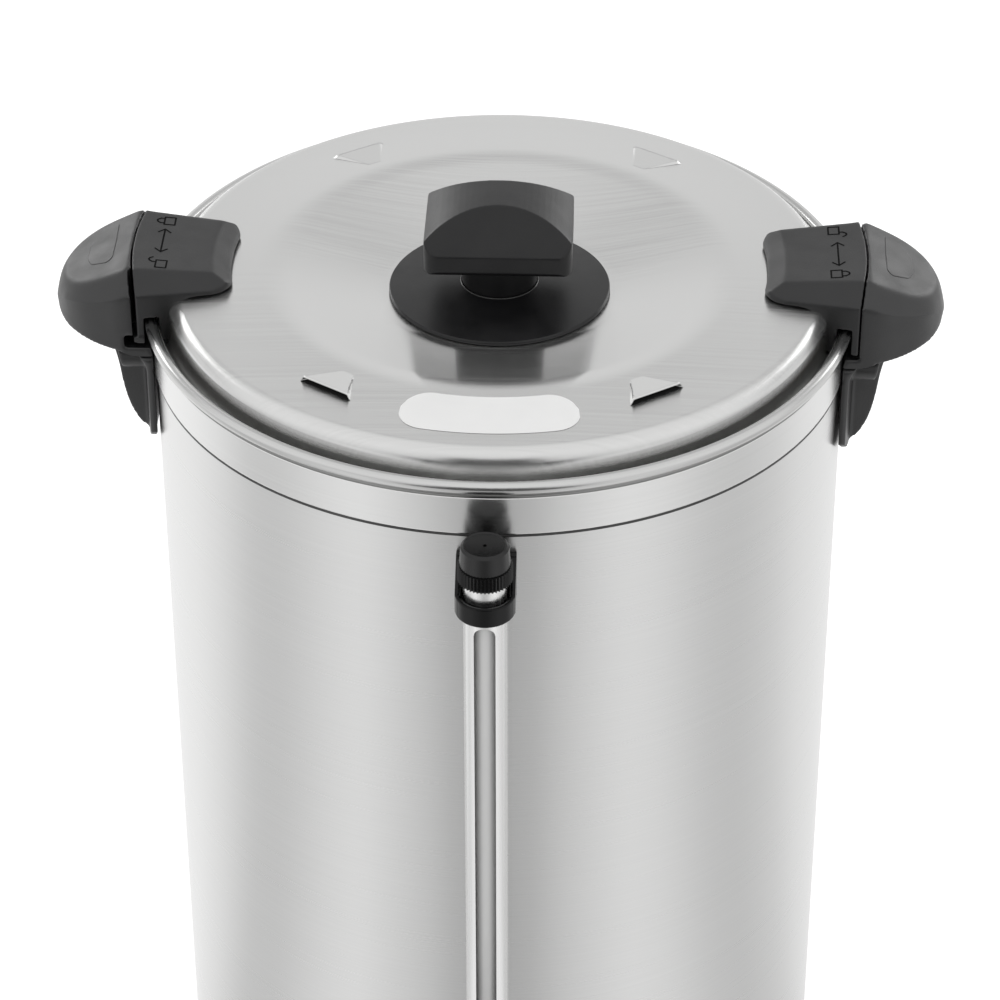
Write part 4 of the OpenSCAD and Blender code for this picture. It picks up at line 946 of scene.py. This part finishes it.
floor_place = add_node(floor_white, "ShaderNodeTexCoord")
floor_axes = add_node(floor_white, "ShaderNodeSeparateXYZ")
floor_front = add_node(floor_white, "ShaderNodeMath", operation="MULTIPLY")
floor_front.inputs[1].default_value = -1.0
floor_turn = add_node(floor_white, "ShaderNodeMath", operation="ARCTAN2")
floor_share = add_node(floor_white, "ShaderNodeMapRange")
floor_share.inputs["From Min"].default_value = -math.pi
floor_share.inputs["From Max"].default_value = math.pi
floor_cards = add_node(floor_white, "ShaderNodeValToRGB")
join(floor_white, floor_place.outputs["Object"], floor_axes.inputs["Vector"])
join(floor_white, floor_axes.outputs["Y"], floor_front.inputs[0])
join(floor_white, floor_axes.outputs["X"], floor_turn.inputs[0])
join(floor_white, floor_front.outputs["Value"], floor_turn.inputs[1])
join(floor_white, floor_turn.outputs["Value"], floor_share.inputs["Value"])
join(floor_white, floor_share.outputs["Result"], floor_cards.inputs["Fac"])
card_stops = [(0.5 - 0.5 * share, left_levels.get(share, level)) for share, level in card_levels[:0:-1]]
card_stops += [(0.5 + 0.5 * share, level) for share, level in card_levels]
set_stops(floor_cards, card_stops)
card_glow = add_node(floor_white, "ShaderNodeEmission", Strength=1.0)
join(floor_white, floor_cards.outputs["Color"], card_glow.inputs["Color"])
floor_ray = add_node(floor_white, "ShaderNodeLightPath")
floor_pick = add_node(floor_white, "ShaderNodeMixShader")
join(floor_white, floor_ray.outputs["Is Glossy Ray"], floor_pick.inputs["Fac"])
join(floor_white, floor_sum.outputs["Shader"], floor_pick.inputs[1])
join(floor_white, card_glow.outputs["Emission"], floor_pick.inputs[2])
join(floor_white, floor_pick.outputs["Shader"], floor_out.inputs["Surface"])
floor.data.materials.append(floor_white)

# Front card
# A dark card that stands in front of the urn, taller in the middle, and is seen
# only in the metal, where it draws the lid's side and the middle of the shell.

card_y = -1.25
card_right = [(0.55, 0.0), (0.55, 0.47), (0.38, 0.58), (0.26, 1.12)]
card_outline = [(x, card_y, z) for x, z in card_right] + [(-x, card_y, z) for x, z in reversed(card_right)]
front_card = flat_sheet("front_card", card_outline)
card_dark, card_out = bare_material("card_dark")
card_level = add_node(card_dark, "ShaderNodeEmission", Strength=0.1)
join(card_dark, card_level.outputs["Emission"], card_out.inputs["Surface"])
front_card.data.materials.append(card_dark)
front_card.visible_camera = False
front_card.visible_diffuse = False
front_card.visible_shadow = False
front_card.visible_transmission = False

# Light
# A white surround that the metal and the glass mirror, dimmer where it only
# fills the shadows, two soft boxes at the front and two smaller ones behind.

# From behind over the top to the front: the share of half a turn, and the grey there.
sky_stops = [(0.0, 0.85), (0.1, 0.95), (0.16, 1.0), (0.22, 0.6), (0.28, 0.7), (0.36, 1.0), (0.5, 0.98),
             (0.7, 1.05), (0.88, 0.98), (1.0, 0.85)]
aim = Vector((0.0, 0.0, 0.3684))

world = bpy.data.worlds.new("studio")
bpy.context.scene.world = world
world.use_nodes = True
world.node_tree.nodes.clear()
world_out = add_node(world, "ShaderNodeOutputWorld")
seen_white = add_node(world, "ShaderNodeBackground", Strength=1.0)
fill_white = add_node(world, "ShaderNodeBackground", Strength=0.72)
mirror_sky = add_node(world, "ShaderNodeBackground", Strength=1.0)
for background in (seen_white, fill_white):
    background.inputs["Color"].default_value = (1.0, 1.0, 1.0, 1.0)
sky_place = add_node(world, "ShaderNodeTexCoord")
sky_axes = add_node(world, "ShaderNodeSeparateXYZ")
sky_turn = add_node(world, "ShaderNodeMath", operation="ARCTAN2")
sky_height = add_node(world, "ShaderNodeMath", operation="ABSOLUTE")
sky_share = add_node(world, "ShaderNodeMath", operation="DIVIDE")
sky_share.inputs[1].default_value = math.pi
sky_ramp = add_node(world, "ShaderNodeValToRGB")
set_stops(sky_ramp, sky_stops)
join(world, sky_place.outputs["Generated"], sky_axes.inputs["Vector"])
join(world, sky_axes.outputs["Z"], sky_height.inputs[0])
join(world, sky_height.outputs["Value"], sky_turn.inputs[0])
join(world, sky_axes.outputs["Y"], sky_turn.inputs[1])
join(world, sky_turn.outputs["Value"], sky_share.inputs[0])
join(world, sky_share.outputs["Value"], sky_ramp.inputs["Fac"])
join(world, sky_ramp.outputs["Color"], mirror_sky.inputs["Color"])
ray = add_node(world, "ShaderNodeLightPath")
seen_rays = add_node(world, "ShaderNodeMath", operation="ADD", use_clamp=True)
seen_mix = add_node(world, "ShaderNodeMixShader")
mirror_mix = add_node(world, "ShaderNodeMixShader")
join(world, ray.outputs["Is Camera Ray"], seen_rays.inputs[0])
join(world, ray.outputs["Is Transmission Ray"], seen_rays.inputs[1])
join(world, ray.outputs["Is Glossy Ray"], mirror_mix.inputs["Fac"])
join(world, fill_white.outputs["Background"], mirror_mix.inputs[1])
join(world, mirror_sky.outputs["Background"], mirror_mix.inputs[2])
join(world, seen_rays.outputs["Value"], seen_mix.inputs["Fac"])
join(world, mirror_mix.outputs["Shader"], seen_mix.inputs[1])
join(world, seen_white.outputs["Background"], seen_mix.inputs[2])
join(world, seen_mix.outputs["Shader"], world_out.inputs["Surface"])


def soft_light(name, place, width, height, watts):
    """A rectangular lamp at that place, which faces the urn."""
    lamp = bpy.data.lights.new(name, "AREA")
    lamp.shape = "RECTANGLE"
    lamp.size = width
    lamp.size_y = height
    lamp.energy = watts
    box = bpy.data.objects.new(name, lamp)
    box.location = place
    box.rotation_euler = (Vector(place) - aim).to_track_quat("Z", "Y").to_euler()
    bpy.context.scene.collection.objects.link(box)
    return box


for side in (-1, 1):
    soft_box = soft_light("soft_box", (1.7 * side, -1.2, 1.9), width=2.0, height=2.0, watts=13.0)
    soft_box.visible_glossy = False
    soft_light("back_strip", (1.42 * side, 1.5, 1.25), width=0.9, height=0.9, watts=6.5)

# Camera
# A long lens that looks down on the lid from the front, a little to the right.
# It frames the lid, the handles and the upper part of the shell.

eye_rise = math.radians(34.536)
eye_turn = math.radians(2.1)
eye_distance = 1.6368
eye_roll = math.radians(-0.1157)
eye_level = math.cos(eye_rise)
back = Vector((math.sin(eye_turn) * eye_level, -math.cos(eye_turn) * eye_level, math.sin(eye_rise)))
lens = bpy.data.cameras.new("camera")
lens.sensor_width = 36.0
lens.lens = 131.26
camera = bpy.data.objects.new("camera", lens)
camera.location = aim + eye_distance * back
camera.rotation_euler = back.to_track_quat("Z", "Y").to_euler()
camera.rotation_euler.rotate_axis("Z", eye_roll)
bpy.context.scene.collection.objects.link(camera)
bpy.context.scene.camera = camera
bpy.context.scene.view_settings.view_transform = "Standard"
